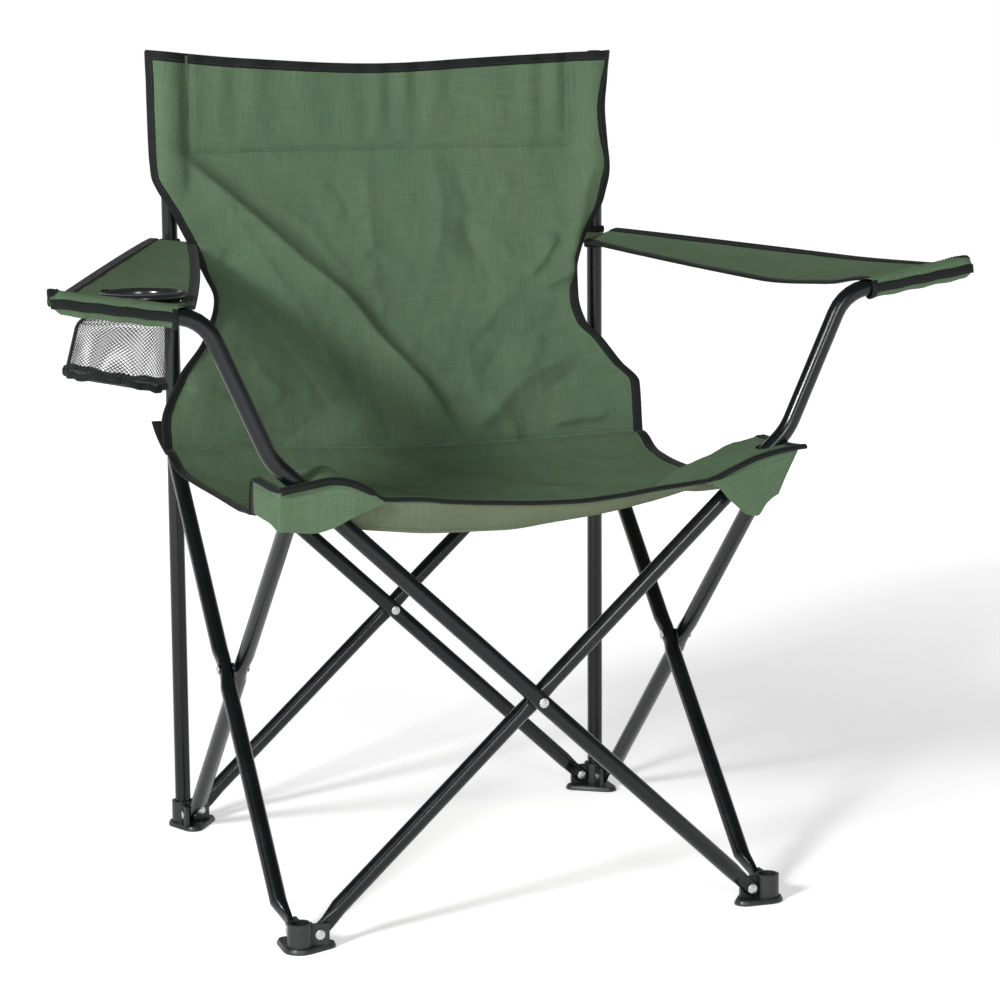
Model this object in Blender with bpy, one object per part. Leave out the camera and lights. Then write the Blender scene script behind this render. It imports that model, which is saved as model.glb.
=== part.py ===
"""Folding camp chair: a square frame of scissor tubes, with a fabric seat, back and arms, and a cup holder.

Metres, +Z up. The front is -Y. The origin is on the floor, midway between the four feet.
Sides are named as the sitter has them: right is -X and left is +X.

The frame has four upright faces. Each holds a scissor of two tubes that are riveted at their middle: the
outer tube runs outside the face's plane and the inner tube inside it. Each corner has a foot, and above it
a fitting for the tubes' upper ends. Faces and corners are numbered in the same turning order, so a piece
made once at the front face, or at the front left corner, is turned a quarter turn at a time to its place.
"""
import bpy
import bmesh
import math
from mathutils import Matrix, Vector

# Frame
FRAME_HALF = 0.231          # from the chair's middle to the plane of each face
FOOT_PIVOT_HEIGHT = 0.0145
TOP_PIVOT_HEIGHT = 0.415
POST_TOP = 0.797

# Tubes
TUBE_DIAMETER = 0.016
TUBE_WALL = 0.001
TUBE_SIDES = 16
BORE_SIDES = 12
CRIMP_THICKNESS = 0.006     # a tube's flattened end
CRIMP_WIDTH = 0.014
CRIMP_OVERHANG = 0.007      # past the pivot
CRIMP_LENGTH = 0.012        # flat stretch on the inner side of the pivot
CRIMP_TAPER = 0.018         # from flat to round
CRIMP_ROUNDING = (          # shares of the overhang and of the half width, from the rounded tip inwards
    (1.00, 0.42),
    (0.80, 0.77),
    (0.36, 1.00),
)
DENT_DEPTH = 0.0024         # how much a tube is pressed in under a rivet head at its middle
DENT_HALF = 0.009
DENT_TAPER = 0.013

# Arm tubes, past the front corner's pivot
ARM_RISE_LENGTH = 0.053     # straight on to the first bend
ARM_UPRIGHT_LENGTH = 0.1402
ARM_UPRIGHT_ANGLE = math.radians(24.3)   # from vertical
ARM_END_LENGTH = 0.124
ARM_END_ANGLE = math.radians(81.2)       # from vertical
LOW_BEND_RADIUS = 0.060
HIGH_BEND_RADIUS = 0.040
BEND_STEPS = 5

# Fasteners and plugs
RIVET_RADIUS = 0.0022
RIVET_HEAD_RADIUS = 0.0047
RIVET_HEAD_HEIGHT = 0.0015
RIVET_CROWN = 0.55          # share of the head that is flat on top, and share of its height that is upright
RIVET_SIDES = 10
SPACER_THICKNESS = 0.001
SPACER_RADIUS = 0.0055
PLUG_HEAD = 0.002
PLUG_STEM = 0.010

# Feet and corner fittings
FOOT_HEIGHT = 0.026
FOOT_FLOOR = 0.0045
FOOT_FLARE = 0.0015
SOLE_EDGE = 0.0018          # height of the sole's upright edge
SOCKET_WALL = 0.0032
TUBE_SIDE_WALL = 0.0015     # socket wall that is left beside a tube's end
TUBE_END_GAP = 0.0004       # between that wall and the tube's end as it turns
WING_THICKNESS = 0.004
WING_PAST_PIVOT = 0.009
SOLE_MARGIN = 0.004         # sole's edge outside the socket
SOLE_TOE_RADIUS = 0.010
SOLE_TOE_BACK = 0.002       # how far a toe's middle is short of its wing's end
SOLE_TOE_SIDE = 0.005       # how far a toe is towards its tube from its wing
WING_TOP = 0.0245
FITTING_BELOW = 0.012       # slider and connector, below and above the pivots
FITTING_ABOVE = 0.013
PASSING_TUBE_DROP = 0.003   # how far below its pivot the tube that runs on needs room

# Fabric. Widths and depths are added to the frame's, heights are from the upper pivots' height.
BACK_ABOVE_POSTS = 0.005
BACK_BELOW_PIVOTS = 0.002
BACK_PAST_POSTS = 0.016
BACK_WAIST = 0.195          # half width at the narrowest
BACK_WAIST_RISE = 0.142
BACK_LOW_PAST_POSTS = 0.025
BACK_LEAVES_POSTS_RISE = 0.250  # below this the back comes forward from the posts
BACK_LOW_FORWARD = 0.048    # how far forward its lower edge is
BACK_THICKNESS = 0.0025
SEAT_PAST_FRAME = 0.016
SEAT_FRONT_INSET = 0.059    # the seat's front edge ends this far inside the frame's sides
SEAT_REAR_INSET = 0.071
SEAT_PAST_FRONT = 0.005
SEAT_DROP = 0.055           # the seat's middle, below the pivots
SEAT_SIDE_RISE = 0.026      # the sling's sides, ends and middle are at these heights above its lowest point
SEAT_FRONT_RISE = 0.040
SEAT_REAR_RISE = 0.032
SEAT_THICKNESS = 0.003
SEAT_NARROWS = (0.60, 0.85)  # shares of the way from the middle to the front edge where its sides draw in
BACK_LOW_FULL = 0.7         # share of the way down from the waist where the back is widest again
ARM_THICKNESS = 0.002
ARM_BACK_GAP = 0.003        # between an arm's inner edge and the back's side edge
ARM_REAR_WIDTH = 0.026
ARM_PAST_HIGH_BEND = 0.006  # front inner corner, outward of the arm tube's upper bend
ARM_PAST_TUBE_END = 0.012
ARM_ABOVE_HIGH_BEND = 0.006
ARM_SLOPE_X = 0.116
ARM_SLOPE_Y = 0.086
POCKET_THICKNESS = 0.002
POCKET_RISE = 0.015
POCKET_DROP = 0.039
POCKET_FRONT_LENGTH = 0.036  # inward from the corner
POCKET_SIDE_LENGTH = 0.045

# Cup holder, in the right arm
CUP_FROM_INNER_EDGE = 0.030  # cup's middle, outward of the arm's front inner corner
CUP_FROM_FRONT_EDGE = 0.063
CUP_HOLE_RADIUS = 0.036
CUP_RING_WIDTH = 0.0055
CUP_RING_HEIGHT = 0.0030
CUP_RING_EDGE = 0.0009      # its bevel
CUP_SIDES = 32
CUP_BAG_TOP_RADIUS = 0.039
CUP_BAG_RADIUS = 0.0435
CUP_BAG_WALL = 0.0015
CUP_BAG_SIDES = 24
CUP_BAG_LEAN = -0.025
CUP_BAG_TOP_DROP = 0.009    # bag's rim, below the arm
CUP_BAG_DEPTH = 0.067

CLEARANCE = 0.0003          # between pieces that touch
CUT_MARGIN = 0.001          # how far cutters run past what they cut

# Worked out from the above
TUBE_RADIUS = TUBE_DIAMETER / 2
TUBE_OFFSET = TUBE_RADIUS + SPACER_THICKNESS / 2 + CLEARANCE    # tube's axis from its face's plane
BORE_RADIUS = TUBE_RADIUS - TUBE_WALL
SOCKET_RADIUS = TUBE_RADIUS + CLEARANCE
CORE_RADIUS = SOCKET_RADIUS + SOCKET_WALL
CRIMP_REACH = max(math.hypot(a * CRIMP_OVERHANG, b * CRIMP_WIDTH / 2) for a, b in CRIMP_ROUNDING)
PIVOT_INSET = SOCKET_RADIUS + TUBE_SIDE_WALL + TUBE_END_GAP + CRIMP_REACH   # corner to the pivots beside it
WING_LENGTH = PIVOT_INSET + WING_PAST_PIVOT
PIVOT_HALF = FRAME_HALF - PIVOT_INSET
SCISSOR_RISE = TOP_PIVOT_HEIGHT - FOOT_PIVOT_HEIGHT
SCISSOR_LENGTH = math.hypot(2 * PIVOT_HALF, SCISSOR_RISE)
SCISSOR_ANGLE = math.atan2(2 * PIVOT_HALF, SCISSOR_RISE)        # from vertical
MIDDLE_HEIGHT = (FOOT_PIVOT_HEIGHT + TOP_PIVOT_HEIGHT) / 2
DENT_HALF_THICKNESS = TUBE_RADIUS - DENT_DEPTH / 2
DENT_OUTER_FACE = SPACER_THICKNESS / 2 + CLEARANCE + 2 * DENT_HALF_THICKNESS
CRIMP_OUTER_FACE = CLEARANCE + CRIMP_THICKNESS
POST_FRONT = FRAME_HALF - TUBE_RADIUS
POCKET_INNER = DENT_OUTER_FACE + CLEARANCE + RIVET_HEAD_HEIGHT + 4 * CLEARANCE
POCKET_TOP = TOP_PIVOT_HEIGHT + POCKET_RISE
POCKET_BOTTOM = TOP_PIVOT_HEIGHT - POCKET_DROP
BACK_TOP = POST_TOP + BACK_ABOVE_POSTS
BACK_BOTTOM = TOP_PIVOT_HEIGHT - BACK_BELOW_PIVOTS
BACK_HALF_WIDTH = FRAME_HALF + BACK_PAST_POSTS
BACK_LOW_HALF_WIDTH = FRAME_HALF + BACK_LOW_PAST_POSTS
BACK_WAIST_HEIGHT = TOP_PIVOT_HEIGHT + BACK_WAIST_RISE
BACK_LEAVES_POSTS = TOP_PIVOT_HEIGHT + BACK_LEAVES_POSTS_RISE
SEAT_HALF_WIDTH = FRAME_HALF + SEAT_PAST_FRAME
SEAT_FRONT_HALF_WIDTH = FRAME_HALF - SEAT_FRONT_INSET
SEAT_REAR = FRAME_HALF - SEAT_REAR_INSET
SEAT_FRONT = -FRAME_HALF - SEAT_PAST_FRONT
SEAT_MIDDLE_HEIGHT = TOP_PIVOT_HEIGHT - SEAT_DROP

FACES = ("front", "left", "back", "right")
CORNERS = ("front_left", "rear_left", "rear_right", "front_right")
FIRST_TUBE = {"front": "inner", "left": "outer", "back": "outer", "right": "inner"}  # keeps the middle rivet
FOOT_BODIES = ("foot_front_left", "foot_rear_left", "frame_root", "foot_front_right")
TOP_BODIES = ("connector_left", "slider_rear_left", "slider_rear_right", "connector_right")


def turn(index):
    """The turn that takes the front face, or the front left corner, to the one numbered index."""
    return Matrix.Rotation(math.radians(90 * index), 4, "Z")


def clear_scene():
    for item in list(bpy.data.objects):
        bpy.data.objects.remove(item, do_unlink=True)


def material(name, colour, roughness, metallic=0.0):
    made = bpy.data.materials.new(name)
    made.use_nodes = True
    shader = made.node_tree.nodes["Principled BSDF"]
    shader.inputs["Base Color"].default_value = (*colour, 1.0)
    shader.inputs["Roughness"].default_value = roughness
    shader.inputs["Metallic"].default_value = metallic
    return made


def mesh_object(name, mesh_builder, smooth_angle=math.radians(35)):
    """A new object whose mesh is the given bmesh, with round faces shaded smooth."""
    bmesh.ops.recalc_face_normals(mesh_builder, faces=mesh_builder.faces)
    mesh = bpy.data.meshes.new(name)
    mesh_builder.to_mesh(mesh)
    mesh_builder.free()
    mesh.shade_smooth()
    mesh.set_sharp_from_angle(angle=smooth_angle)
    made = bpy.data.objects.new(name, mesh)
    bpy.context.collection.objects.link(made)
    return made


def combine(target, others, operation):
    """Joins or cuts target with the other objects, keeps the result as its mesh and removes the others."""
    for other in others:
        step = target.modifiers.new(operation.lower(), "BOOLEAN")
        step.operation = operation
        step.object = other
    evaluated = target.evaluated_get(bpy.context.evaluated_depsgraph_get())
    result = bpy.data.meshes.new_from_object(evaluated)
    target.modifiers.clear()
    target.data = result
    for other in others:
        bpy.data.objects.remove(other, do_unlink=True)
    return target


def box(name, low, high):
    made = bmesh.new()
    bmesh.ops.create_cube(made, size=1.0)
    size = Vector(high) - Vector(low)
    middle = (Vector(high) + Vector(low)) / 2
    for vertex in made.verts:
        vertex.co = Vector(vertex.co[i] * size[i] for i in range(3)) + middle
    return mesh_object(name, made)


def turned(name, profile, sides, place=Matrix()):
    """A closed solid turned about Z. The profile is (radius, height) pairs that start and end on the axis."""
    made = bmesh.new()
    rings = []
    for radius, height in profile:
        if radius == 0:
            rings.append([made.verts.new((0, 0, height))])
            continue
        angles = [2 * math.pi * i / sides for i in range(sides)]
        rings.append([made.verts.new((radius * math.cos(a), radius * math.sin(a), height)) for a in angles])
    for lower, upper in zip(rings, rings[1:]):
        for i in range(sides):
            j = (i + 1) % sides
            below = [lower[i % len(lower)], lower[j % len(lower)]]
            above = [upper[j % len(upper)], upper[i % len(upper)]]
            made.faces.new(list(dict.fromkeys(below + above)))
    bmesh.ops.transform(made, matrix=place, verts=made.verts)
    return mesh_object(name, made)


def along(point, direction):
    """The placement that puts Z along direction at a point."""
    return Matrix.Translation(point) @ Vector(direction).to_track_quat("Z", "Y").to_matrix().to_4x4()


def rod(name, start, end, radius, sides=RIVET_SIDES):
    length = (Vector(end) - Vector(start)).length
    profile = [(0, 0), (radius, 0), (radius, length), (0, length)]
    return turned(name, profile, sides, along(start, Vector(end) - Vector(start)))


def rivet(name, centre, outward, low, high):
    """A rivet whose heads clamp everything from low to high, measured along outward from centre."""
    low_face = low - CLEARANCE
    high_face = high + CLEARANCE
    rim = RIVET_CROWN * RIVET_HEAD_HEIGHT
    crown = RIVET_CROWN * RIVET_HEAD_RADIUS
    profile = [
        (0, low_face - RIVET_HEAD_HEIGHT),
        (crown, low_face - RIVET_HEAD_HEIGHT),
        (RIVET_HEAD_RADIUS, low_face - rim),
        (RIVET_HEAD_RADIUS, low_face),
        (RIVET_RADIUS, low_face),
        (RIVET_RADIUS, high_face),
        (RIVET_HEAD_RADIUS, high_face),
        (RIVET_HEAD_RADIUS, high_face + rim),
        (crown, high_face + RIVET_HEAD_HEIGHT),
        (0, high_face + RIVET_HEAD_HEIGHT),
    ]
    return turned(name, profile, RIVET_SIDES, along(centre, outward))


def plug(name, end, direction):
    """A plug in a tube's open end, with its head outside. Direction points out of the tube."""
    stem = BORE_RADIUS * math.cos(math.pi / BORE_SIDES) - CLEARANCE
    head = TUBE_RADIUS - CLEARANCE
    profile = [
        (0, -PLUG_STEM),
        (stem, -PLUG_STEM),
        (stem, CLEARANCE),
        (head, CLEARANCE),
        (head, CLEARANCE + 0.5 * PLUG_HEAD),
        (0.7 * head, CLEARANCE + PLUG_HEAD),
        (0, CLEARANCE + PLUG_HEAD),
    ]
    return turned(name, profile, TUBE_SIDES, along(end, direction))


# --- Tubes ------------------------------------------------------------------------------------------------

def section(half_width, half_thickness, squareness, sides):
    """A tube's outline, as (across, normal) pairs: an ellipse that grows squarer with squareness."""
    power = 2 / squareness
    points = []
    for i in range(sides):
        angle = 2 * math.pi * i / sides
        c = math.cos(angle)
        s = math.sin(angle)
        across = half_width * math.copysign(abs(c) ** power, c)
        normal = half_thickness * math.copysign(abs(s) ** power, s)
        points.append((across, normal))
    return points


def loft(name, stations, sides):
    """A closed solid through cross sections. Each station is (x, z, heading, half width, half thickness,
    shift, squareness) in a face's plane: heading is the angle from vertical and shift is along the normal."""
    made = bmesh.new()
    rings = []
    for x, z, heading, half_width, half_thickness, shift, squareness in stations:
        ring = []
        for across, normal in section(half_width, half_thickness, squareness, sides):
            point = (x + across * math.cos(heading), -(normal + shift), z - across * math.sin(heading))
            ring.append(made.verts.new(point))
        rings.append(ring)
    for lower, upper in zip(rings, rings[1:]):
        for i in range(sides):
            j = (i + 1) % sides
            made.faces.new([lower[i], lower[j], upper[j], upper[i]])
    made.faces.new(rings[0])
    made.faces.new(rings[-1])
    bmesh.ops.triangulate(made, faces=[face for face in made.faces if len(face.verts) > 4])
    return mesh_object(name, made)


def crimp_sections(side):
    """Sections of a flattened end: distance from the pivot, half width, half thickness, shift, squareness.
    Side is +1 for a tube outside its face's plane and -1 for one inside it."""
    half = CRIMP_THICKNESS / 2
    flat = CRIMP_WIDTH / 2
    shift = side * (CLEARANCE + half)
    rounded = [(-along * CRIMP_OVERHANG, across * flat, half, shift, 4) for along, across in CRIMP_ROUNDING]
    return rounded + [
        (CRIMP_LENGTH, flat, half, shift, 4),
        (CRIMP_LENGTH + CRIMP_TAPER / 2, (flat + TUBE_RADIUS) / 2, (half + TUBE_RADIUS) / 2,
         (shift + side * TUBE_OFFSET) / 2, 2.5),
        (CRIMP_LENGTH + CRIMP_TAPER, TUBE_RADIUS, TUBE_RADIUS, side * TUBE_OFFSET, 2),
    ]


def dent_sections(side, thinner=0.0):
    """Sections of a tube where rivet heads press it in, measured from the pivot along the tube."""
    shift = side * (TUBE_OFFSET - DENT_DEPTH / 2)
    full = TUBE_RADIUS - thinner
    pressed = DENT_HALF_THICKNESS - thinner
    reach = DENT_HALF + DENT_TAPER
    return [
        (-reach, full, full, side * TUBE_OFFSET, 2),
        (-DENT_HALF, full, pressed, shift, 2.4),
        (DENT_HALF, full, pressed, shift, 2.4),
        (reach, full, full, side * TUBE_OFFSET, 2),
    ]


def on_line(start, heading, distance):
    return (start[0] + distance * math.sin(heading), start[1] + distance * math.cos(heading))


def straight_stations(start, heading, sections, at, way=1):
    """Stations for sections that lie around the distance at, measured from start along heading."""
    placed = []
    for distance, *shape in sections:
        x, z = on_line(start, heading, at + way * distance)
        placed.append((x, z, heading, *shape))
    return placed if way > 0 else placed[::-1]


def bend_stations(corner, heading_in, heading_out, radius, shape):
    """Stations round a bend of the given radius, whose straight runs would meet at corner."""
    turned_by = heading_out - heading_in
    tangent = radius * math.tan(abs(turned_by) / 2)
    x, z = on_line(corner, heading_in, -tangent)
    side = math.copysign(1, turned_by)
    centre = (x + side * radius * math.cos(heading_in), z - side * radius * math.sin(heading_in))
    placed = []
    for step in range(BEND_STEPS + 1):
        heading = heading_in + turned_by * step / BEND_STEPS
        place_x = centre[0] - side * radius * math.cos(heading)
        place_z = centre[1] + side * radius * math.sin(heading)
        placed.append((place_x, place_z, heading, *shape))
    return placed


def arm_corners():
    """The two bends' corners and the end of an arm tube that leans to +X, in its face's plane."""
    pivot = (PIVOT_HALF, TOP_PIVOT_HEIGHT)
    low = on_line(pivot, SCISSOR_ANGLE, ARM_RISE_LENGTH)
    high = on_line(low, ARM_UPRIGHT_ANGLE, ARM_UPRIGHT_LENGTH)
    end = on_line(high, ARM_END_ANGLE, ARM_END_LENGTH)
    return low, high, end


def arm_stations(side, thinner):
    """Stations of an arm tube from its upper pivot's dent to its end."""
    low, high, end = arm_corners()
    radius = TUBE_RADIUS - thinner
    shape = (radius, radius, side * TUBE_OFFSET, 2)
    foot = (-PIVOT_HALF, FOOT_PIVOT_HEIGHT)
    stations = straight_stations(foot, SCISSOR_ANGLE, dent_sections(side, thinner), SCISSOR_LENGTH)
    stations += bend_stations(low, SCISSOR_ANGLE, ARM_UPRIGHT_ANGLE, LOW_BEND_RADIUS, shape)
    stations += bend_stations(high, ARM_UPRIGHT_ANGLE, ARM_END_ANGLE, HIGH_BEND_RADIUS, shape)
    return stations + [(*end, ARM_END_ANGLE, *shape)]


def scissor_tube(name, side, face, with_arm):
    """One tube of a face's scissor, made leaning to +X in the front face. An outer tube (side +1) leans the
    other way, so it is mirrored before it is turned to its face."""
    foot = (-PIVOT_HALF, FOOT_PIVOT_HEIGHT)
    middle = SCISSOR_LENGTH / 2
    outside = straight_stations(foot, SCISSOR_ANGLE, crimp_sections(side), 0)
    outside += straight_stations(foot, SCISSOR_ANGLE, dent_sections(side), middle)
    bore_start = CRIMP_LENGTH + CRIMP_TAPER
    bore_shape = (BORE_RADIUS, BORE_RADIUS, side * TUBE_OFFSET, 2)
    bore = [(*on_line(foot, SCISSOR_ANGLE, bore_start), SCISSOR_ANGLE, *bore_shape)]
    bore += straight_stations(foot, SCISSOR_ANGLE, dent_sections(side, TUBE_WALL), middle)
    if with_arm:
        outside += arm_stations(side, 0)
        bore += arm_stations(side, TUBE_WALL)
        past_end = on_line(bore[-1][:2], ARM_END_ANGLE, CUT_MARGIN)
        bore[-1] = (*past_end, ARM_END_ANGLE, *bore_shape)
    else:
        outside += straight_stations(foot, SCISSOR_ANGLE, crimp_sections(side), SCISSOR_LENGTH, -1)
        bore_end = on_line(foot, SCISSOR_ANGLE, SCISSOR_LENGTH - bore_start)
        bore.append((*bore_end, SCISSOR_ANGLE, *bore_shape))
    tube = loft(name, outside, TUBE_SIDES)
    cutters = [loft("bore", bore, BORE_SIDES)]
    for distance in (0, middle, SCISSOR_LENGTH):
        x, z = on_line(foot, SCISSOR_ANGLE, distance)
        reach = 2 * TUBE_OFFSET
        radius = RIVET_RADIUS + CLEARANCE
        cutters.append(rod("rivet_hole", (x, -reach, z), (x, reach, z), radius, BORE_SIDES))
    combine(tube, cutters, "DIFFERENCE")
    place = turn(face) @ Matrix.Translation((0, -FRAME_HALF, 0))
    if side > 0:
        place = place @ Matrix.Scale(-1, 4, (1, 0, 0))
    tube.data.transform(place)
    if side > 0:
        tube.data.flip_normals()
    return tube


def post(name, corner):
    start = FOOT_FLOOR + CLEARANCE
    centre = turn(corner) @ Vector((FRAME_HALF, -FRAME_HALF, 0))
    bottom = centre + Vector((0, 0, start))
    top = centre + Vector((0, 0, POST_TOP))
    tube = rod(name, bottom, top, TUBE_RADIUS, TUBE_SIDES)
    margin = Vector((0, 0, CUT_MARGIN))
    return combine(tube, [rod("bore", bottom - margin, top + margin, BORE_RADIUS, BORE_SIDES)], "DIFFERENCE")


# --- Feet, sliders and connectors, made at the front left corner: +X and -Y are outward ---------------------

def at_corner(item, corner):
    item.data.transform(turn(corner) @ Matrix.Translation((FRAME_HALF, -FRAME_HALF, 0)))
    return item


def rivet_bores(height, faces_reach):
    """Cutters for the two rivets beside a corner."""
    radius = RIVET_RADIUS + CLEARANCE
    return [
        rod("front_hole", (-PIVOT_INSET, -faces_reach, height), (-PIVOT_INSET, faces_reach, height), radius),
        rod("side_hole", (-faces_reach, PIVOT_INSET, height), (faces_reach, PIVOT_INSET, height), radius),
    ]


def tube_end_room(side, low, high):
    """Cutters that thin the socket where the tubes' ends turn beside it. Side is as for a tube, and gives the
    tube in the front face: the tube in the side face is always on the other side of its plane."""
    near = SOCKET_RADIUS + TUBE_SIDE_WALL
    far = CORE_RADIUS + CUT_MARGIN
    start, end = sorted((0.0, -side * far))
    return [
        box("front_room", (-far, start, low), (-near, end, high)),
        box("side_room", (start, near, low), (end, far, high)),
    ]


def foot(name, corner):
    """A moulded foot: a flared sole, a socket at the corner and a wing for each of the two tubes."""
    sole = bmesh.new()
    reach = WING_LENGTH - SOLE_TOE_BACK
    lobes = (
        (0, 0, CORE_RADIUS + SOLE_MARGIN),
        (-reach, -SOLE_TOE_SIDE, SOLE_TOE_RADIUS),
        (-SOLE_TOE_SIDE, reach, SOLE_TOE_RADIUS),
    )
    for height, grow in ((0, 0), (SOLE_EDGE, 0), (FOOT_FLOOR, -FOOT_FLARE)):
        for x, y, radius in lobes:
            for i in range(TUBE_SIDES):
                angle = 2 * math.pi * i / TUBE_SIDES
                spread = radius + grow
                sole.verts.new((x + spread * math.cos(angle), y + spread * math.sin(angle), height))
    hull = bmesh.ops.convex_hull(sole, input=sole.verts)
    left_over = hull["geom_interior"] + hull["geom_unused"]
    loose = {item for item in left_over if isinstance(item, bmesh.types.BMVert)}
    bmesh.ops.delete(sole, geom=list(loose), context="VERTS")
    bmesh.ops.dissolve_limit(sole, angle_limit=math.radians(1), verts=sole.verts, edges=sole.edges)
    body = mesh_object(name, sole)
    low = FOOT_FLOOR / 2
    core = rod("core", (0, 0, low), (0, 0, FOOT_HEIGHT), CORE_RADIUS, 2 * TUBE_SIDES)
    combine(core, tube_end_room(1, FOOT_FLOOR, FOOT_HEIGHT + CUT_MARGIN), "DIFFERENCE")
    front_wing = box("front_wing", (-WING_LENGTH, 0, low), (0, WING_THICKNESS, WING_TOP))
    side_wing = box("side_wing", (0, 0, low), (WING_THICKNESS, WING_LENGTH, WING_TOP))
    combine(body, [core, front_wing, side_wing], "UNION")
    socket = rod("socket", (0, 0, FOOT_FLOOR), (0, 0, FOOT_HEIGHT + CUT_MARGIN), SOCKET_RADIUS, TUBE_SIDES)
    combine(body, [socket] + rivet_bores(FOOT_PIVOT_HEIGHT, 2 * WING_THICKNESS), "DIFFERENCE")
    return at_corner(body, corner)


def slider(name, corner):
    """A sleeve that slides on a rear post, with a wing for each tube's upper end."""
    low = TOP_PIVOT_HEIGHT - FITTING_BELOW
    high = TOP_PIVOT_HEIGHT + FITTING_ABOVE
    body = rod(name, (0, 0, low), (0, 0, high), CORE_RADIUS, 2 * TUBE_SIDES)
    combine(body, tube_end_room(-1, low - CUT_MARGIN, high + CUT_MARGIN), "DIFFERENCE")
    front_wing = box("front_wing", (-WING_LENGTH, -WING_THICKNESS, low), (0, 0, high))
    side_wing = box("side_wing", (-WING_THICKNESS, 0, low), (0, WING_LENGTH, high))
    combine(body, [front_wing, side_wing], "UNION")
    sleeve = rod("sleeve", (0, 0, low - CUT_MARGIN), (0, 0, high + CUT_MARGIN), SOCKET_RADIUS, TUBE_SIDES)
    combine(body, [sleeve] + rivet_bores(TOP_PIVOT_HEIGHT, 2 * WING_THICKNESS), "DIFFERENCE")
    return at_corner(body, corner)


def connector(name, corner):
    """An angle bracket under a front corner of the seat. The arm tube runs on past it: in the front left
    corner the arm tube is inside the face that the bracket's first wing lies in, and in the front right
    corner it is outside the face that the second wing lies in."""
    low = TOP_PIVOT_HEIGHT - FITTING_BELOW
    high = TOP_PIVOT_HEIGHT + FITTING_ABOVE / 2
    pad = SPACER_THICKNESS / 2
    arm_in_front_wing = corner == 0
    front_pad = pad if arm_in_front_wing else 0
    side_pad = 0 if arm_in_front_wing else pad
    body = box(name, (-WING_LENGTH, -WING_THICKNESS, low), (side_pad, front_pad, high))
    side_wing = box("side_wing", (-WING_THICKNESS, -WING_THICKNESS, low), (side_pad, WING_LENGTH, high))
    combine(body, [side_wing], "UNION")
    cutters = rivet_bores(TOP_PIVOT_HEIGHT, 2 * WING_THICKNESS)
    if arm_in_front_wing:
        room_low = (-WING_LENGTH - CUT_MARGIN, pad, TOP_PIVOT_HEIGHT - PASSING_TUBE_DROP)
        room_high = (CUT_MARGIN, TUBE_OFFSET + TUBE_RADIUS + CLEARANCE, high + CUT_MARGIN)
        cutters.insert(0, box("arm_tube_room", room_low, room_high))
    combine(body, cutters, "DIFFERENCE")
    return at_corner(body, corner)


# --- Fabric -------------------------------------------------------------------------------------------------

def smooth_step(value):
    value = min(1.0, max(0.0, value))
    return value * value * (3 - 2 * value)


def slab(name, rows, thickness):
    """A closed slab on a grid of points. Thickness is the vector from the grid to the slab's other face."""
    made = bmesh.new()
    near = [[made.verts.new(point) for point in row] for row in rows]
    far = [[made.verts.new(Vector(point) + Vector(thickness)) for point in row] for row in rows]
    last_row = len(rows) - 1
    last_column = len(rows[0]) - 1
    for i in range(last_row):
        for j in range(last_column):
            for sheet in (near, far):
                made.faces.new([sheet[i][j], sheet[i][j + 1], sheet[i + 1][j + 1], sheet[i + 1][j]])
    for i in range(last_row):
        for j in (0, last_column):
            made.faces.new([near[i][j], near[i + 1][j], far[i + 1][j], far[i][j]])
    for j in range(last_column):
        for i in (0, last_row):
            made.faces.new([near[i][j], near[i][j + 1], far[i][j + 1], far[i][j]])
    return mesh_object(name, made)


def spread(start, end, steps):
    return [start + (end - start) * i / steps for i in range(steps + 1)]


def back_half_width(z):
    if z > BACK_WAIST_HEIGHT:
        share = smooth_step((z - BACK_WAIST_HEIGHT) / (BACK_LEAVES_POSTS - BACK_WAIST_HEIGHT))
        return BACK_WAIST + (BACK_HALF_WIDTH - BACK_WAIST) * share
    share = smooth_step((BACK_WAIST_HEIGHT - z) / (BACK_LOW_FULL * (BACK_WAIST_HEIGHT - BACK_BOTTOM)))
    return BACK_WAIST + (BACK_LOW_HALF_WIDTH - BACK_WAIST) * share


def back_panel(name):
    front = POST_FRONT - CLEARANCE - BACK_THICKNESS
    rows = []
    for z in spread(BACK_BOTTOM, BACK_TOP, 12):
        forward = BACK_LOW_FORWARD * smooth_step((BACK_LEAVES_POSTS - z) / (BACK_LEAVES_POSTS - BACK_BOTTOM))
        half = back_half_width(z)
        rows.append([(x, front - forward, z) for x in spread(-half, half, 6)])
    return slab(name, rows, (0, BACK_THICKNESS, 0))


def seat_end_rise(y):
    """How far the sling has risen from its lowest line towards the end that y is nearer to."""
    if y < 0:
        return SEAT_FRONT_RISE * (y / SEAT_FRONT) ** 2
    return SEAT_REAR_RISE * (y / SEAT_REAR) ** 2


def seat_half(name, start, end):
    """Half of the seat, from one Y to another. The seat narrows at the front, between the corner pockets."""
    rows = []
    for y in spread(start, end, 5):
        narrow = smooth_step((y / SEAT_FRONT - SEAT_NARROWS[0]) / (SEAT_NARROWS[1] - SEAT_NARROWS[0]))
        half = SEAT_HALF_WIDTH + (SEAT_FRONT_HALF_WIDTH - SEAT_HALF_WIDTH) * narrow
        end_rise = seat_end_rise(y)
        row = []
        for x in spread(-half, half, 8):
            side_rise = SEAT_SIDE_RISE * (x / SEAT_HALF_WIDTH) ** 2
            row.append((x, y, SEAT_MIDDLE_HEIGHT + side_rise + end_rise))
        rows.append(row)
    return slab(name, rows, (0, 0, -SEAT_THICKNESS))


def arm_front():
    """Y of an arm's front edge, just behind the tube that carries it."""
    return -FRAME_HALF + TUBE_OFFSET + TUBE_RADIUS + 4 * CLEARANCE


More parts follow.
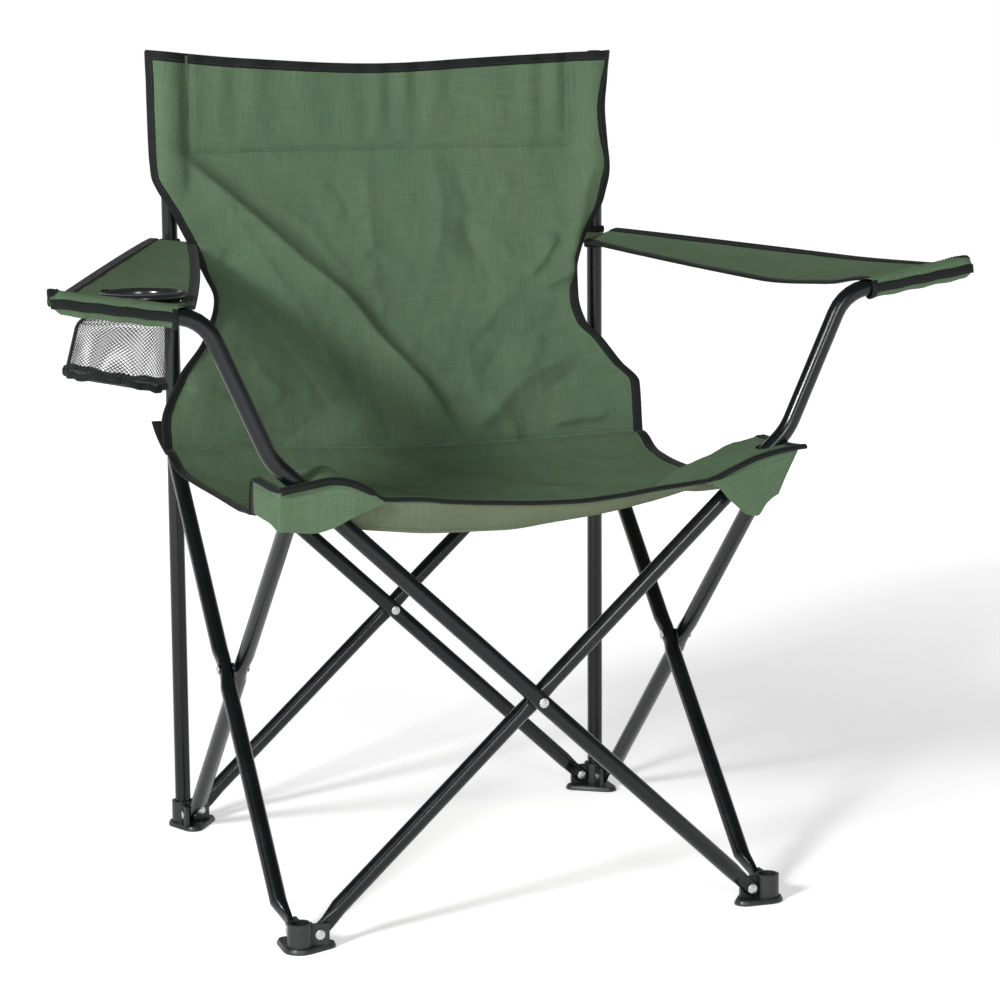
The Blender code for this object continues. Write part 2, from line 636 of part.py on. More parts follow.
def arm_front_ends():
    """X of an arm's front corners, and the height of the inner one, beside the arm tube's last run."""
    _, high, end = arm_corners()
    return high[0] + ARM_PAST_HIGH_BEND, end[0] + ARM_PAST_TUBE_END, high[1] + ARM_ABOVE_HIGH_BEND


def arm_height(x, y):
    """Height of an arm's upper face. X is positive on either side."""
    inner, _, height = arm_front_ends()
    return height + ARM_SLOPE_X * (x - inner) + ARM_SLOPE_Y * (y - arm_front())


def arm_rear_inner():
    """X of an arm's inner edge at its rear end, just outside the back's side edge at the same height."""
    return ARM_BACK_GAP + back_half_width(arm_height(BACK_HALF_WIDTH, POST_FRONT))


def arm(name, side):
    rear = POST_FRONT - 4 * CLEARANCE
    rear_inner = arm_rear_inner()
    front_inner, front_outer, _ = arm_front_ends()
    rows = []
    for inner, outer, y in (
        (rear_inner, rear_inner + ARM_REAR_WIDTH, rear),
        (front_inner, front_outer, arm_front()),
    ):
        rows.append([(side * x, y, arm_height(x, y)) for x in (inner, outer)])
    return slab(name, rows, (0, 0, -ARM_THICKNESS))


def cup_middle():
    """The middle of the cup holder's hole, in the right arm's upper face."""
    x = arm_front_ends()[0] + CUP_FROM_INNER_EDGE
    y = arm_front() + CUP_FROM_FRONT_EDGE
    return Vector((-x, y, arm_height(x, y)))


def cup_placement():
    """Placement of the cup holder's ring, with Z along the arm's normal."""
    return along(cup_middle(), Vector((ARM_SLOPE_X, -ARM_SLOPE_Y, 1)).normalized())


def cup_hole():
    """A cutter for the cup's hole, through the arm and the ring."""
    reach = ARM_THICKNESS + CUP_RING_HEIGHT + CUT_MARGIN
    profile = [(0, -reach), (CUP_HOLE_RADIUS, -reach), (CUP_HOLE_RADIUS, reach), (0, reach)]
    return turned("hole", profile, CUP_SIDES, cup_placement())


def cup_ring(name):
    outer = CUP_HOLE_RADIUS + CUP_RING_WIDTH
    low = CLEARANCE
    high = CLEARANCE + CUP_RING_HEIGHT
    edge = CUP_RING_EDGE
    profile = [(0, low), (outer, low), (outer, high - edge), (outer - edge, high), (0, high)]
    return combine(turned(name, profile, CUP_SIDES, cup_placement()), [cup_hole()], "DIFFERENCE")


def cup_bag(name):
    """The mesh bag's outer shape, open at the top and leaning outward."""
    made = bmesh.new()
    sides = CUP_BAG_SIDES
    middle = cup_middle()
    top = middle.z - ARM_THICKNESS - CUP_BAG_TOP_DROP
    bottom = top - CUP_BAG_DEPTH
    floor = bottom + CUP_BAG_WALL
    levels = (
        (CUP_BAG_RADIUS, bottom),
        (CUP_BAG_TOP_RADIUS, top),
        (CUP_BAG_TOP_RADIUS - CUP_BAG_WALL, top),
        (CUP_BAG_RADIUS - CUP_BAG_WALL, floor),
    )
    rings = []
    for radius, height in levels:
        lean = CUP_BAG_LEAN * (top - height) / CUP_BAG_DEPTH
        ring = []
        for i in range(sides):
            angle = 2 * math.pi * i / sides
            x = middle.x + lean + radius * math.cos(angle)
            ring.append(made.verts.new((x, middle.y + radius * math.sin(angle), height)))
        rings.append(ring)
    for lower, upper in zip(rings, rings[1:]):
        for i in range(sides):
            j = (i + 1) % sides
            made.faces.new([lower[i], lower[j], upper[j], upper[i]])
    made.faces.new(rings[0])
    made.faces.new(rings[-1])
    return mesh_object(name, made)


def pocket(name, side):
    """The fabric pouch in front of and beside a front corner, outside everything that turns there."""
    inner = FRAME_HALF + POCKET_INNER
    outer = inner + POCKET_THICKNESS
    corner = (-outer, -outer, POCKET_BOTTOM)
    front = box(name, corner, (-FRAME_HALF + POCKET_FRONT_LENGTH, -inner, POCKET_TOP))
    beside = box("beside", corner, (-inner, -FRAME_HALF + POCKET_SIDE_LENGTH, POCKET_TOP))
    combine(front, [beside], "UNION")
    if side > 0:
        front.data.transform(Matrix.Scale(-1, 4, (1, 0, 0)))
        front.data.flip_normals()
    return front


# --- Assembly -----------------------------------------------------------------------------------------------

def face_point(face, x, z, normal=0.0):
    """A point in a face, given along it, up, and outward from its plane."""
    return turn(face) @ Vector((x, -FRAME_HALF - normal, z))


def finish(item, look, pivot):
    """Gives a piece its material and parents it to its joint's empty."""
    item.data.materials.clear()
    item.data.materials.append(look)
    item.parent = pivot
    item.data.transform(Matrix.Translation(-pivot.location))


def joint_empty(name, location):
    made = bpy.data.objects.new(name, None)
    made.location = location
    made.empty_display_size = 0.02
    bpy.context.collection.objects.link(made)
    return made


def make_pivots():
    """An empty on each joint's axis, by body name. A piece is parented to that of the body it moves with."""
    low = FOOT_PIVOT_HEIGHT
    high = TOP_PIVOT_HEIGHT
    middle = MIDDLE_HEIGHT
    crease = (SEAT_REAR + SEAT_FRONT) / 2
    places = {
        "frame_root": Vector((-FRAME_HALF, FRAME_HALF, 0)),
        "back_outer": face_point(2, PIVOT_HALF, low),
        "back_inner": face_point(2, 0, middle),
        "right_inner": face_point(3, -PIVOT_HALF, low),
        "right_outer": face_point(3, 0, middle),
        "foot_front_right": face_point(3, PIVOT_HALF, low),
        "foot_rear_left": face_point(2, -PIVOT_HALF, low),
        "slider_rear_right": face_point(3, -PIVOT_HALF, high),
        "slider_rear_left": face_point(2, -PIVOT_HALF, high),
        "front_inner": face_point(0, -PIVOT_HALF, low),
        "front_outer": face_point(0, 0, middle),
        "left_outer": face_point(1, PIVOT_HALF, low),
        "left_inner": face_point(1, 0, middle),
        "foot_front_left": face_point(0, PIVOT_HALF, low),
        "connector_right": face_point(3, PIVOT_HALF, high),
        "connector_left": face_point(0, PIVOT_HALF, high),
        "seat_rear": Vector((0, SEAT_REAR, SEAT_MIDDLE_HEIGHT + seat_end_rise(SEAT_REAR))),
        "seat_front": Vector((0, crease, SEAT_MIDDLE_HEIGHT + seat_end_rise(crease))),
        "arm_right": Vector((-FRAME_HALF, POST_FRONT, arm_height(FRAME_HALF, POST_FRONT))),
        "arm_left": Vector((FRAME_HALF, POST_FRONT, arm_height(FRAME_HALF, POST_FRONT))),
    }
    return {name: joint_empty("pivot_" + name, place) for name, place in places.items()}


def build_tubes(pivots, look):
    for index, face in enumerate(FACES):
        for side, kind in ((1, "outer"), (-1, "inner")):
            tube = scissor_tube(f"{face}_{kind}_tube", side, index, face == "front")
            finish(tube, look, pivots[f"{face}_{kind}"])
    finish(post("rear_right_post", 2), look, pivots["frame_root"])
    finish(post("rear_left_post", 1), look, pivots["foot_rear_left"])


def build_mouldings(pivots, look):
    for index, corner in enumerate(CORNERS):
        finish(foot(f"{corner}_foot", index), look, pivots[FOOT_BODIES[index]])
    finish(slider("rear_left_slider", 1), look, pivots["slider_rear_left"])
    finish(slider("rear_right_slider", 2), look, pivots["slider_rear_right"])
    finish(connector("front_left_connector", 0), look, pivots["connector_left"])
    finish(connector("front_right_connector", 3), look, pivots["connector_right"])
    _, _, end = arm_corners()
    direction = Vector((math.sin(ARM_END_ANGLE), 0, math.cos(ARM_END_ANGLE)))
    for side, name, body in ((1, "left", "front_inner"), (-1, "right", "front_outer")):
        tip = Vector((side * end[0], -FRAME_HALF + side * TUBE_OFFSET, end[1]))
        outward = Vector((side * direction.x, 0, direction.z))
        finish(plug(f"{name}_arm_tube_plug", tip, outward), look, pivots[body])
    for corner, name, body in ((1, "rear_left", "foot_rear_left"), (2, "rear_right", "frame_root")):
        top = turn(corner) @ Vector((FRAME_HALF, -FRAME_HALF, POST_TOP))
        finish(plug(f"{name}_post_plug", top, Vector((0, 0, 1))), look, pivots[body])


def build_fasteners(pivots, look):
    for index, face in enumerate(FACES):
        outward = turn(index) @ Vector((0, -1, 0))
        middle = face_point(index, 0, MIDDLE_HEIGHT)
        body = pivots[f"{face}_{FIRST_TUBE[face]}"]
        finish(rivet(f"{face}_middle_rivet", middle, outward, -DENT_OUTER_FACE, DENT_OUTER_FACE), look, body)
        half = outward * SPACER_THICKNESS / 2
        spacer = rod(f"{face}_middle_spacer", middle - half, middle + half, SPACER_RADIUS, TUBE_SIDES)
        hole = rod("hole", middle - 2 * half, middle + 2 * half, RIVET_RADIUS + CLEARANCE)
        finish(combine(spacer, [hole], "DIFFERENCE"), look, body)
    for index, corner in enumerate(CORNERS):
        build_corner_rivets(pivots, look, index, corner)


def build_corner_rivets(pivots, look, index, corner):
    """A corner's rivets: a is in the face with the corner's own number, where the foot's tube is the outer
    one and the upper fitting's tube the inner one, and b is in the next face, where it is the other way."""
    for letter, face, x, way in (("a", index, PIVOT_HALF, 1), ("b", (index + 1) % 4, -PIVOT_HALF, -1)):
        outward = turn(face) @ Vector((0, -way, 0))
        foot_rivet = rivet(f"{corner}_foot_rivet_{letter}", face_point(face, x, FOOT_PIVOT_HEIGHT), outward,
                           -WING_THICKNESS, CRIMP_OUTER_FACE)
        finish(foot_rivet, look, pivots[FOOT_BODIES[index]])
        tube_face = DENT_OUTER_FACE if FACES[face] == "front" else CRIMP_OUTER_FACE
        top_rivet = rivet(f"{corner}_top_rivet_{letter}", face_point(face, x, TOP_PIVOT_HEIGHT), outward,
                          -tube_face, WING_THICKNESS)
        finish(top_rivet, look, pivots[TOP_BODIES[index]])


def build_fabric(pivots, looks):
    cloth = looks["fabric"]
    finish(back_panel("back_panel"), cloth, pivots["frame_root"])
    crease = (SEAT_REAR + SEAT_FRONT) / 2
    finish(seat_half("seat_rear", SEAT_REAR, crease + CLEARANCE), cloth, pivots["seat_rear"])
    finish(seat_half("seat_front", crease - CLEARANCE, SEAT_FRONT), cloth, pivots["seat_front"])
    right_arm = combine(arm("right_arm", -1), [cup_hole()], "DIFFERENCE")
    finish(right_arm, cloth, pivots["arm_right"])
    finish(arm("left_arm", 1), cloth, pivots["arm_left"])
    finish(cup_ring("cup_ring"), looks["plastic"], pivots["arm_right"])
    finish(cup_bag("cup_bag"), looks["net"], pivots["arm_right"])
    finish(pocket("right_pocket", -1), cloth, pivots["connector_right"])
    finish(pocket("left_pocket", 1), cloth, pivots["connector_left"])


def main():
    clear_scene()
    looks = {
        "tube": material("powder_coated_tube", (0.012, 0.014, 0.017), 0.35, 0.4),
        "plastic": material("black_plastic", (0.015, 0.016, 0.017), 0.5),
        "steel": material("rivet_steel", (0.62, 0.63, 0.64), 0.3, 1.0),
        "fabric": material("green_polyester", (0.055, 0.115, 0.060), 0.8),
        "net": material("black_net", (0.02, 0.02, 0.022), 0.7),
    }
    pivots = make_pivots()
    build_tubes(pivots, looks["tube"])
    build_mouldings(pivots, looks["plastic"])
    build_fasteners(pivots, looks["steel"])
    build_fabric(pivots, looks)


main()
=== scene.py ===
"""The looks of the folding camp chair: its fabric, bindings, stitching, net cup holder and finishes.

Metres, +Z up. The front is -Y. Right and left are the sitter's: right is -X and left is +X.
The frame's steel and plastic parts are the CAD model's own, with better materials. Everything sewn
is made here as thin closed shells over grids of points, cut where the chair folds.
"""
import math
import random

import bpy
import numpy as np
from mathutils import Matrix, Vector


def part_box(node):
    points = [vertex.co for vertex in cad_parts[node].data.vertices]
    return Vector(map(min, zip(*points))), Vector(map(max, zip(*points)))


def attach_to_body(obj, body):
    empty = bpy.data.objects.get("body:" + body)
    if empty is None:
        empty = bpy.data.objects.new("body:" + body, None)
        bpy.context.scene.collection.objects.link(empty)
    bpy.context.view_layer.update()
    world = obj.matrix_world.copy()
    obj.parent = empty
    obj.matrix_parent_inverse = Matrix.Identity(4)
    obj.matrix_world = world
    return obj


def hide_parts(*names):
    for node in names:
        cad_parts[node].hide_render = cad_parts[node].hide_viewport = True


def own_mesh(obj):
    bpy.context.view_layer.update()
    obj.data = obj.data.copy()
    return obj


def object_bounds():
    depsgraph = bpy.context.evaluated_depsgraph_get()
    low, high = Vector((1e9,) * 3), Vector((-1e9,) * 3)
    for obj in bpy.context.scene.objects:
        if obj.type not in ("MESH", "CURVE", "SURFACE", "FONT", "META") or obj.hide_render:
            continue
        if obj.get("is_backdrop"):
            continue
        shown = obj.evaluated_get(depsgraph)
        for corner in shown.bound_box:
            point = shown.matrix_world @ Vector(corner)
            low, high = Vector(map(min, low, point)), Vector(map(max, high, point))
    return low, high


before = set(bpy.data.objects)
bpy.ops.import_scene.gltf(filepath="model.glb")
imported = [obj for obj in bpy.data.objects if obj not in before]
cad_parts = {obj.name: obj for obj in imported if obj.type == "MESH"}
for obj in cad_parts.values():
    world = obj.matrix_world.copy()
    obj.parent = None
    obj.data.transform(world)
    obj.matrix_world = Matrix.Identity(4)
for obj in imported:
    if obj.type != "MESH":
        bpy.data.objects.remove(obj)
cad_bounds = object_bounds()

# Where the frame is
FRAME_HALF = 0.231          # from the chair's middle to each face, and to the posts
POST_RADIUS = 0.008
TUBE_RADIUS = 0.008

# Fabric
CLOTH_THICKNESS = 0.0011
SPLIT_HEIGHT = 0.62         # the back is cut here, where its lower part starts to rise with the sliders
SLEEVE_BOTTOM = 0.70
SLEEVE_SEAM = 0.2115        # from the chair's middle to the seam beside each post
SLEEVE_STITCHES = (-0.2085, -0.2155, 0.196, 0.2028)     # the rows beside the right post, then the left
SEAT_REAR_HINGE = 0.160
SEAT_CREASE = -0.038
BINDING_WIDTH = 0.0085
BINDING_OVERHANG = 0.0016   # past the fabric's edge
BINDING_RISE = 0.0013       # above the fabric on each side
BINDING_STEP = 0.003        # between the outlines along it
BINDING_SEAM_IN = 0.0062    # its row of stitches, in from the fabric's edge
BINDING_SEAM_UP = 0.00155   # and out from the fabric's middle
NARROW_BINDING = 0.005
WEAVE_PITCH = 0.0007
STITCH_LENGTH = 0.0026
STITCH_PITCH = 0.0037
STITCH_RADIUS = 0.00042

# How the fabric gathers as the chair folds: its rear left corner comes to lie beside the rear right one
BACK_FOLD = {"axis": (1, 0, 0), "anchor": (-SLEEVE_SEAM, 0, 0), "keep": 0.2035}
SEAT_FOLD = {"axis": (1, 0, 0), "anchor": (-0.2012, 0, 0), "keep": 0.18}
ARM_KEEP = 0.527
SLIDER_RISE = 0.1774        # how far the sliders have risen when the chair is folded
LOOP_TOP = 0.6125           # the arms' loops round the posts
LOOP_BOTTOM = 0.5930
LOOP_KEEP = 0.25            # share of a loop's height that is left when the slider has pushed it up
LOOP_CLEARANCE = 0.0030     # left between a risen slider and the loop above it
LOOP_THICKNESS = 0.0009

# The back's edges and depth, by height
BACK_RIGHT_EDGE = (
    (0.803, -0.2505), (0.6795, -0.249), (0.6386, -0.2296), (0.5816, -0.2036), (0.5608, -0.1953),
    (0.5202, -0.2085), (0.4802, -0.2371), (0.4295, -0.258), (0.407, -0.257),
)
BACK_LEFT_EDGE = (
    (0.800, 0.248), (0.7366, 0.2382), (0.6838, 0.2426), (0.6468, 0.2347), (0.6103, 0.2104),
    (0.5734, 0.196), (0.5467, 0.1946), (0.5196, 0.2013), (0.5029, 0.2168), (0.4749, 0.2373),
    (0.4524, 0.2563), (0.401, 0.2575),
)
BACK_TOP = (
    (-0.2505, 0.803), (-0.1455, 0.7932), (-0.0078, 0.7867), (0.1231, 0.7924), (0.248, 0.798),
)
BACK_SEAM = (
    (-0.2568, 0.407), (-0.1122, 0.3978), (-0.0265, 0.3932), (0.049, 0.3922), (0.1714, 0.3964),
    (0.2575, 0.401),
)
BACK_EDGE_DEPTH = (
    (0.80, 0.2335), (0.70, 0.231), (0.68, 0.226), (0.64, 0.2125), (0.60, 0.2015), (0.557, 0.189),
    (0.52, 0.1805), (0.48, 0.172), (0.44, 0.165), (0.405, 0.161),
)
BACK_BOW = ((0.80, 0.004), (0.70, 0.006), (0.60, 0.014), (0.50, 0.028), (0.405, 0.029))
SLEEVE_BULGE = (
    (0.196, 0.0), (0.2115, 0.002), (0.2215, 0.0105), (0.231, 0.0125), (0.2395, 0.0105),
    (0.2455, 0.004), (0.251, -0.0015),
)

# Folds in the back: points (x, z), height toward the sitter, and widths of the lower and upper slopes
BACK_FOLD_DEPTH = 3.2       # times the heights below
BACK_FOLDS = (
    (((-0.232, 0.712), (-0.2155, 0.695), (-0.1384, 0.627), (-0.0975, 0.589), (-0.0558, 0.555),
      (-0.0227, 0.513), (0.02, 0.466), (0.067, 0.397)), 0.0062, 0.030, 0.0052),
    (((-0.214, 0.60), (-0.1998, 0.581), (-0.1427, 0.539), (-0.0938, 0.472), (-0.0687, 0.4385),
      (-0.05, 0.405)), -0.0062, 0.045, 0.020),
    (((-0.205, 0.692), (-0.155, 0.612), (-0.0986, 0.529), (-0.0653, 0.469), (-0.03, 0.41)),
     0.0022, 0.015, 0.012),
    (((0.1784, 0.61), (0.160, 0.583), (0.1425, 0.565)), 0.0024, 0.009, 0.006),
    (((0.1974, 0.579), (0.178, 0.565), (0.158, 0.556)), 0.0024, 0.007, 0.006),
    (((0.2258, 0.696), (0.207, 0.632), (0.1805, 0.55)), 0.0026, 0.010, 0.012),
    (((0.2256, 0.42), (0.195, 0.4175), (0.163, 0.414)), 0.0018, 0.006, 0.004),
    (((-0.02, 0.69), (-0.024, 0.64), (-0.018, 0.585)), 0.0010, 0.010, 0.009),
    (((0.05, 0.695), (0.056, 0.645), (0.047, 0.58)), 0.0011, 0.010, 0.012),
    (((0.078, 0.685), (0.086, 0.63), (0.092, 0.57)), -0.0009, 0.010, 0.010),
    (((0.195, 0.49), (0.13, 0.455), (0.075, 0.405)), 0.0016, 0.016, 0.012),
    (((-0.235, 0.47), (-0.19, 0.455), (-0.15, 0.42)), 0.0016, 0.012, 0.010),
)

# The seat, by share of the way from the back's seam to the front edge
SEAT_SIDE_HEIGHT = (
    (0.0, 0.403), (0.063, 0.396), (0.159, 0.388), (0.316, 0.3855), (0.485, 0.3855), (0.63, 0.387),
    (0.75, 0.391), (1.0, 0.393),
)
SEAT_MIDDLE_HEIGHT = (
    (0.0, 0.3915), (0.10, 0.382), (0.25, 0.370), (0.45, 0.3625), (0.65, 0.366), (0.82, 0.380),
    (0.93, 0.3935), (1.0, 0.4005),
)
SEAT_HALF_WIDTH = (
    (0.0, 0.2572), (0.063, 0.2555), (0.159, 0.251), (0.316, 0.247), (0.485, 0.246), (0.63, 0.248),
    (0.75, 0.250), (0.80, 0.2515), (0.94, 0.2515), (1.0, 0.2475),
)
FRONT_EDGE_HEIGHT = (
    (-0.250, 0.4252), (-0.230, 0.4287), (-0.2135, 0.4313), (-0.2007, 0.4330), (-0.1888, 0.4317),
    (-0.1746, 0.4264), (-0.1641, 0.4204), (-0.1508, 0.4125), (-0.1172, 0.4106), (-0.0862, 0.4066),
    (-0.0416, 0.4031), (-0.0033, 0.4008), (0.0325, 0.4001), (0.0745, 0.4027), (0.1139, 0.4073),
    (0.1596, 0.4117), (0.1818, 0.4211), (0.2125, 0.4328), (0.2434, 0.4387), (0.2601, 0.4401),
)
SEAT_FOLDS = (
    (((-0.205, -0.205), (-0.165, -0.165), (-0.11, -0.135)), 0.0035, 0.014, 0.010),
    (((-0.228, -0.150), (-0.180, -0.120), (-0.125, -0.115)), 0.0022, 0.012, 0.010),
    (((0.205, -0.205), (0.16, -0.170), (0.10, -0.145)), 0.0035, 0.012, 0.014),
    (((0.225, -0.150), (0.18, -0.115), (0.13, -0.105)), 0.0020, 0.010, 0.012),
    (((-0.17, 0.150), (-0.06, 0.156), (0.05, 0.152), (0.16, 0.150)), 0.0016, 0.008, 0.010),
    (((-0.19, 0.10), (-0.05, 0.118), (0.11, 0.108)), -0.0014, 0.014, 0.012),
)
SEAT_FRONT_Y = -0.246
SEAT_CORNER_Y = -0.2535     # the corners reach further forward, over the connectors
HEM_SPAN = (-0.196, 0.152)
HEM_BOTTOM = (
    (-0.200, 0.3900), (-0.165, 0.3843), (-0.145, 0.3818), (-0.106, 0.3779), (-0.064, 0.3766),
    (-0.036, 0.3763), (0.012, 0.3803), (0.060, 0.3858), (0.1105, 0.3944), (0.150, 0.4043),
)
BACK_ROWS = 112
SEAT_ROWS = 114
SLING_COLUMNS = 127

# Where the arm tubes come up through the seat, from the chair's middle
TUBE_THROUGH_SEAT = 0.2305
ARM_TUBE_Y = {"right": -0.2398, "left": -0.2222}
TUBE_OPENING = TUBE_RADIUS + 0.0018


def smooth_step(t):
    t = np.clip(t, 0, 1)
    return t * t * (3 - 2 * t)


def mix(a, b, t):
    return a + (b - a) * t


def value_curve(pairs):
    """A smooth curve through (position, value) pairs that never overshoots them, level past its ends."""
    at, value = (np.array(column, float) for column in zip(*sorted(pairs)))
    step = np.diff(at)
    rise = np.diff(value) / step
    slope = np.zeros_like(value)
    for i in range(1, len(value) - 1):
        if rise[i - 1] * rise[i] > 0:
            slope[i] = 2 * rise[i - 1] * rise[i] / (rise[i - 1] + rise[i])
    slope[0], slope[-1] = rise[0], rise[-1]

    def curve(t):
        t = np.clip(t, at[0], at[-1])
        i = np.clip(np.searchsorted(at, t, side="right") - 1, 0, len(step) - 1)
        s = (t - at[i]) / step[i]
        lower = value[i] * (1 + 2 * s) * (1 - s) ** 2 + value[i + 1] * s * s * (3 - 2 * s)
        return lower + step[i] * s * (1 - s) * (slope[i] * (1 - s) - slope[i + 1] * s)

    return curve


def unit(vectors):
    return vectors / np.maximum(np.linalg.norm(vectors, axis=-1, keepdims=True), 1e-12)


def fold_height(a, b, points, height, below, above):
    """One fold's rise at points (a, b): a crest along the polyline, with its own width on either side."""
    points = np.array(points, float)
    best = np.full(a.shape, 1e9)
    side = np.zeros(a.shape)
    along = np.zeros(a.shape)
    lengths = np.linalg.norm(np.diff(points, axis=0), axis=1)
    total = lengths.sum()
    start = 0.0
    for p, q, length in zip(points[:-1], points[1:], lengths):
        d = (q - p) / length
        t = np.clip((a - p[0]) * d[0] + (b - p[1]) * d[1], 0, length)
        away_a, away_b = a - p[0] - t * d[0], b - p[1] - t * d[1]
        distance = np.hypot(away_a, away_b)
        nearer = distance < best
        best = np.where(nearer, distance, best)
        side = np.where(nearer, d[0] * away_b - d[1] * away_a, side)
        along = np.where(nearer, (start + t) / total, along)
        start += length
    width = np.where(side > 0, above, below)
    crest = np.exp(-(np.sqrt(best ** 2 + 0.0012 ** 2) - 0.0012) / width)
    ends = smooth_step(along / 0.18) * smooth_step((1 - along) / 0.18)
    return height * crest * mix(0.15, 1.0, ends) * smooth_step(1.6 - best / (3.5 * width))


def ripples(a, b, seed, height, wavelength, stretch=1.0):
    """Slight unevenness: a sum of waves in seeded directions, longer along b when stretch is above 1."""
    draw = random.Random(seed)
    total = np.zeros(a.shape)
    for _ in range(9):
        angle = draw.uniform(0, math.pi)
        number = 2 * math.pi / (wavelength * draw.uniform(0.6, 1.7))
        phase = draw.uniform(0, 2 * math.pi)
        total += np.sin(number * (a * math.cos(angle) + b * math.sin(angle) / stretch) + phase)
    return height * total / 3


def scattered_folds(seed, count, low, high, angles, lengths, heights, widths):
    """Short creases at seeded places and directions, in the form that fold_height takes."""
    draw = random.Random(seed)
    made = []
    for _ in range(count):
        a, b = draw.uniform(low[0], high[0]), draw.uniform(low[1], high[1])
        angle, length = math.radians(draw.uniform(*angles)), draw.uniform(*lengths)
        bend = draw.uniform(-0.35, 0.35)
        points = [(a, b)]
        for k in range(3):
            turn = angle + bend * (k - 1)
            last = points[-1]
            points.append((last[0] + length / 3 * math.cos(turn), last[1] + length / 3 * math.sin(turn)))
        height = draw.uniform(*heights) * draw.choice((1, 1, -1))
        made.append((points, height, draw.uniform(*widths), draw.uniform(*widths)))
    return made


def grid_normals(grid):
    across = np.gradient(grid, axis=1)
    along = np.gradient(grid, axis=0)
    return unit(np.cross(across, along))


def grid_lengths(grid):
    """How far each point is from its row's middle, and from the grid's first row, along the cloth."""
    across = np.linalg.norm(np.diff(grid, axis=1), axis=2)
    along = np.linalg.norm(np.diff(grid, axis=0), axis=2)
    u = np.concatenate([np.zeros((grid.shape[0], 1)), across.cumsum(axis=1)], axis=1)
    v = np.concatenate([np.zeros((1, grid.shape[1])), along.cumsum(axis=0)], axis=0)
    return u - u.mean(axis=1, keepdims=True), v


def repeated(vector, path):
    """The same direction for every point of a path."""
    return np.tile(np.array(vector, float), (len(path), 1))


def new_object(name, points, faces, loop_normals=None, loop_uvs=None, materials=(), slots=None):
    mesh = bpy.data.meshes.new(name)
    mesh.from_pydata(np.asarray(points).tolist(), [], [list(f) for f in faces])
    for material in materials:
        mesh.materials.append(material)
    if slots is not None:
        mesh.polygons.foreach_set("material_index", np.array(slots, np.int32))
    mesh.polygons.foreach_set("use_smooth", np.ones(len(faces), bool))
    if loop_uvs is not None:
        layer = mesh.uv_layers.new(name="UVMap")
        layer.data.foreach_set("uv", np.asarray(loop_uvs, np.float32).ravel())
    if loop_normals is not None:
        mesh.normals_split_custom_set(np.asarray(loop_normals).tolist())
    mesh.update()
    piece = bpy.data.objects.new(name, mesh)
    bpy.context.scene.collection.objects.link(piece)
    return piece


def attach(piece, body, fold=None):
    """Ties a piece to a body. With a fold, the piece first gets its own copy of its mesh; the fold is not
    applied.
    """
    if fold:
        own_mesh(piece)
    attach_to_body(piece, body)
    return piece


class Cloth:
    """A grid of points in space that thin closed shells are cut from."""

    def __init__(self, grid):
        self.grid = grid
        self.normals = grid_normals(grid)
        self.u, self.v = grid_lengths(grid)

    def cut(self, name, keep, materials, thickness=CLOTH_THICKNESS):
        """The shell over the kept quads: a front face, a back face and a rim, as one closed mesh."""
        rows, columns = keep.shape
        number = -np.ones(self.grid.shape[:2], int)
        i, j = np.nonzero(keep)
        corner = ((i, j), (i, j + 1), (i + 1, j + 1), (i + 1, j))
        for ci, cj in corner:
            number[ci, cj] = 0
        used = number == 0
        count = int(used.sum())
        number[used] = np.arange(count)
        points = self.grid[used]
        normals = self.normals[used]
        uv = np.stack([self.u[used], self.v[used]], axis=1)
        all_points = np.concatenate([points + normals * thickness / 2, points - normals * thickness / 2])
        front = np.stack([number[c] for c in corner], axis=1)
        back = front[:, ::-1] + count
        edges = []
        for di, dj, a, b in ((-1, 0, 1, 0), (0, 1, 2, 1), (1, 0, 3, 2), (0, -1, 0, 3)):
            ni, nj = i + di, j + dj
            inside = (ni >= 0) & (ni < rows) & (nj >= 0) & (nj < columns)
            neighbour = np.zeros(len(i), bool)
            neighbour[inside] = keep[ni[inside], nj[inside]]
            edge = ~neighbour
            edges.append(np.stack([front[edge][:, a], front[edge][:, b]], axis=1))
        edges = np.concatenate(edges)
        rim = np.stack([edges[:, 0], edges[:, 1], edges[:, 1] + count, edges[:, 0] + count], axis=1)
        along = points[edges[:, 1]] - points[edges[:, 0]]
        outward = unit(np.cross(normals[edges[:, 0]], along))
        faces = np.concatenate([front, back, rim])
        loops = np.concatenate([normals[front].reshape(-1, 3), -normals[front[:, ::-1]].reshape(-1, 3),
                                -np.repeat(outward, 4, axis=0)])
        loop_uv = uv[faces.ravel() % count]
        slots = np.concatenate([np.zeros(len(front), int), np.ones(len(back), int), np.zeros(len(rim), int)])
        piece = new_object(name, all_points, faces.tolist(), loops, loop_uv, materials, slots)
        quads = points[front]
        self.area = float(0.5 * np.linalg.norm(np.cross(quads[:, 2] - quads[:, 0], quads[:, 3] - quads[:, 1]),
                                               axis=1).sum())
        self.flat = (float(np.ptp(uv[:, 0])), float(np.ptp(uv[:, 1])))
        return piece

    def all(self):
        return np.ones((self.grid.shape[0] - 1, self.grid.shape[1] - 1), bool)

    def seam(self, row, columns=slice(None)):
        """A line for stitches along a row, on the cloth's face."""
        normal = self.normals[row, columns]
        return self.grid[row, columns] + normal * CLOTH_THICKNESS / 2, normal


def sew(cloth, name, body, fold=None, keep=None, materials=None, thickness=CLOTH_THICKNESS):
    """A piece of the cloth, cut over the kept quads and tied to a body. A piece of the
    cloth, said to be a sheet cut to the size that its own grid measures.
    """
    piece = cloth.cut(name, cloth.all() if keep is None else keep, materials or CLOTH, thickness)
    attach(piece, body, fold)
    return piece


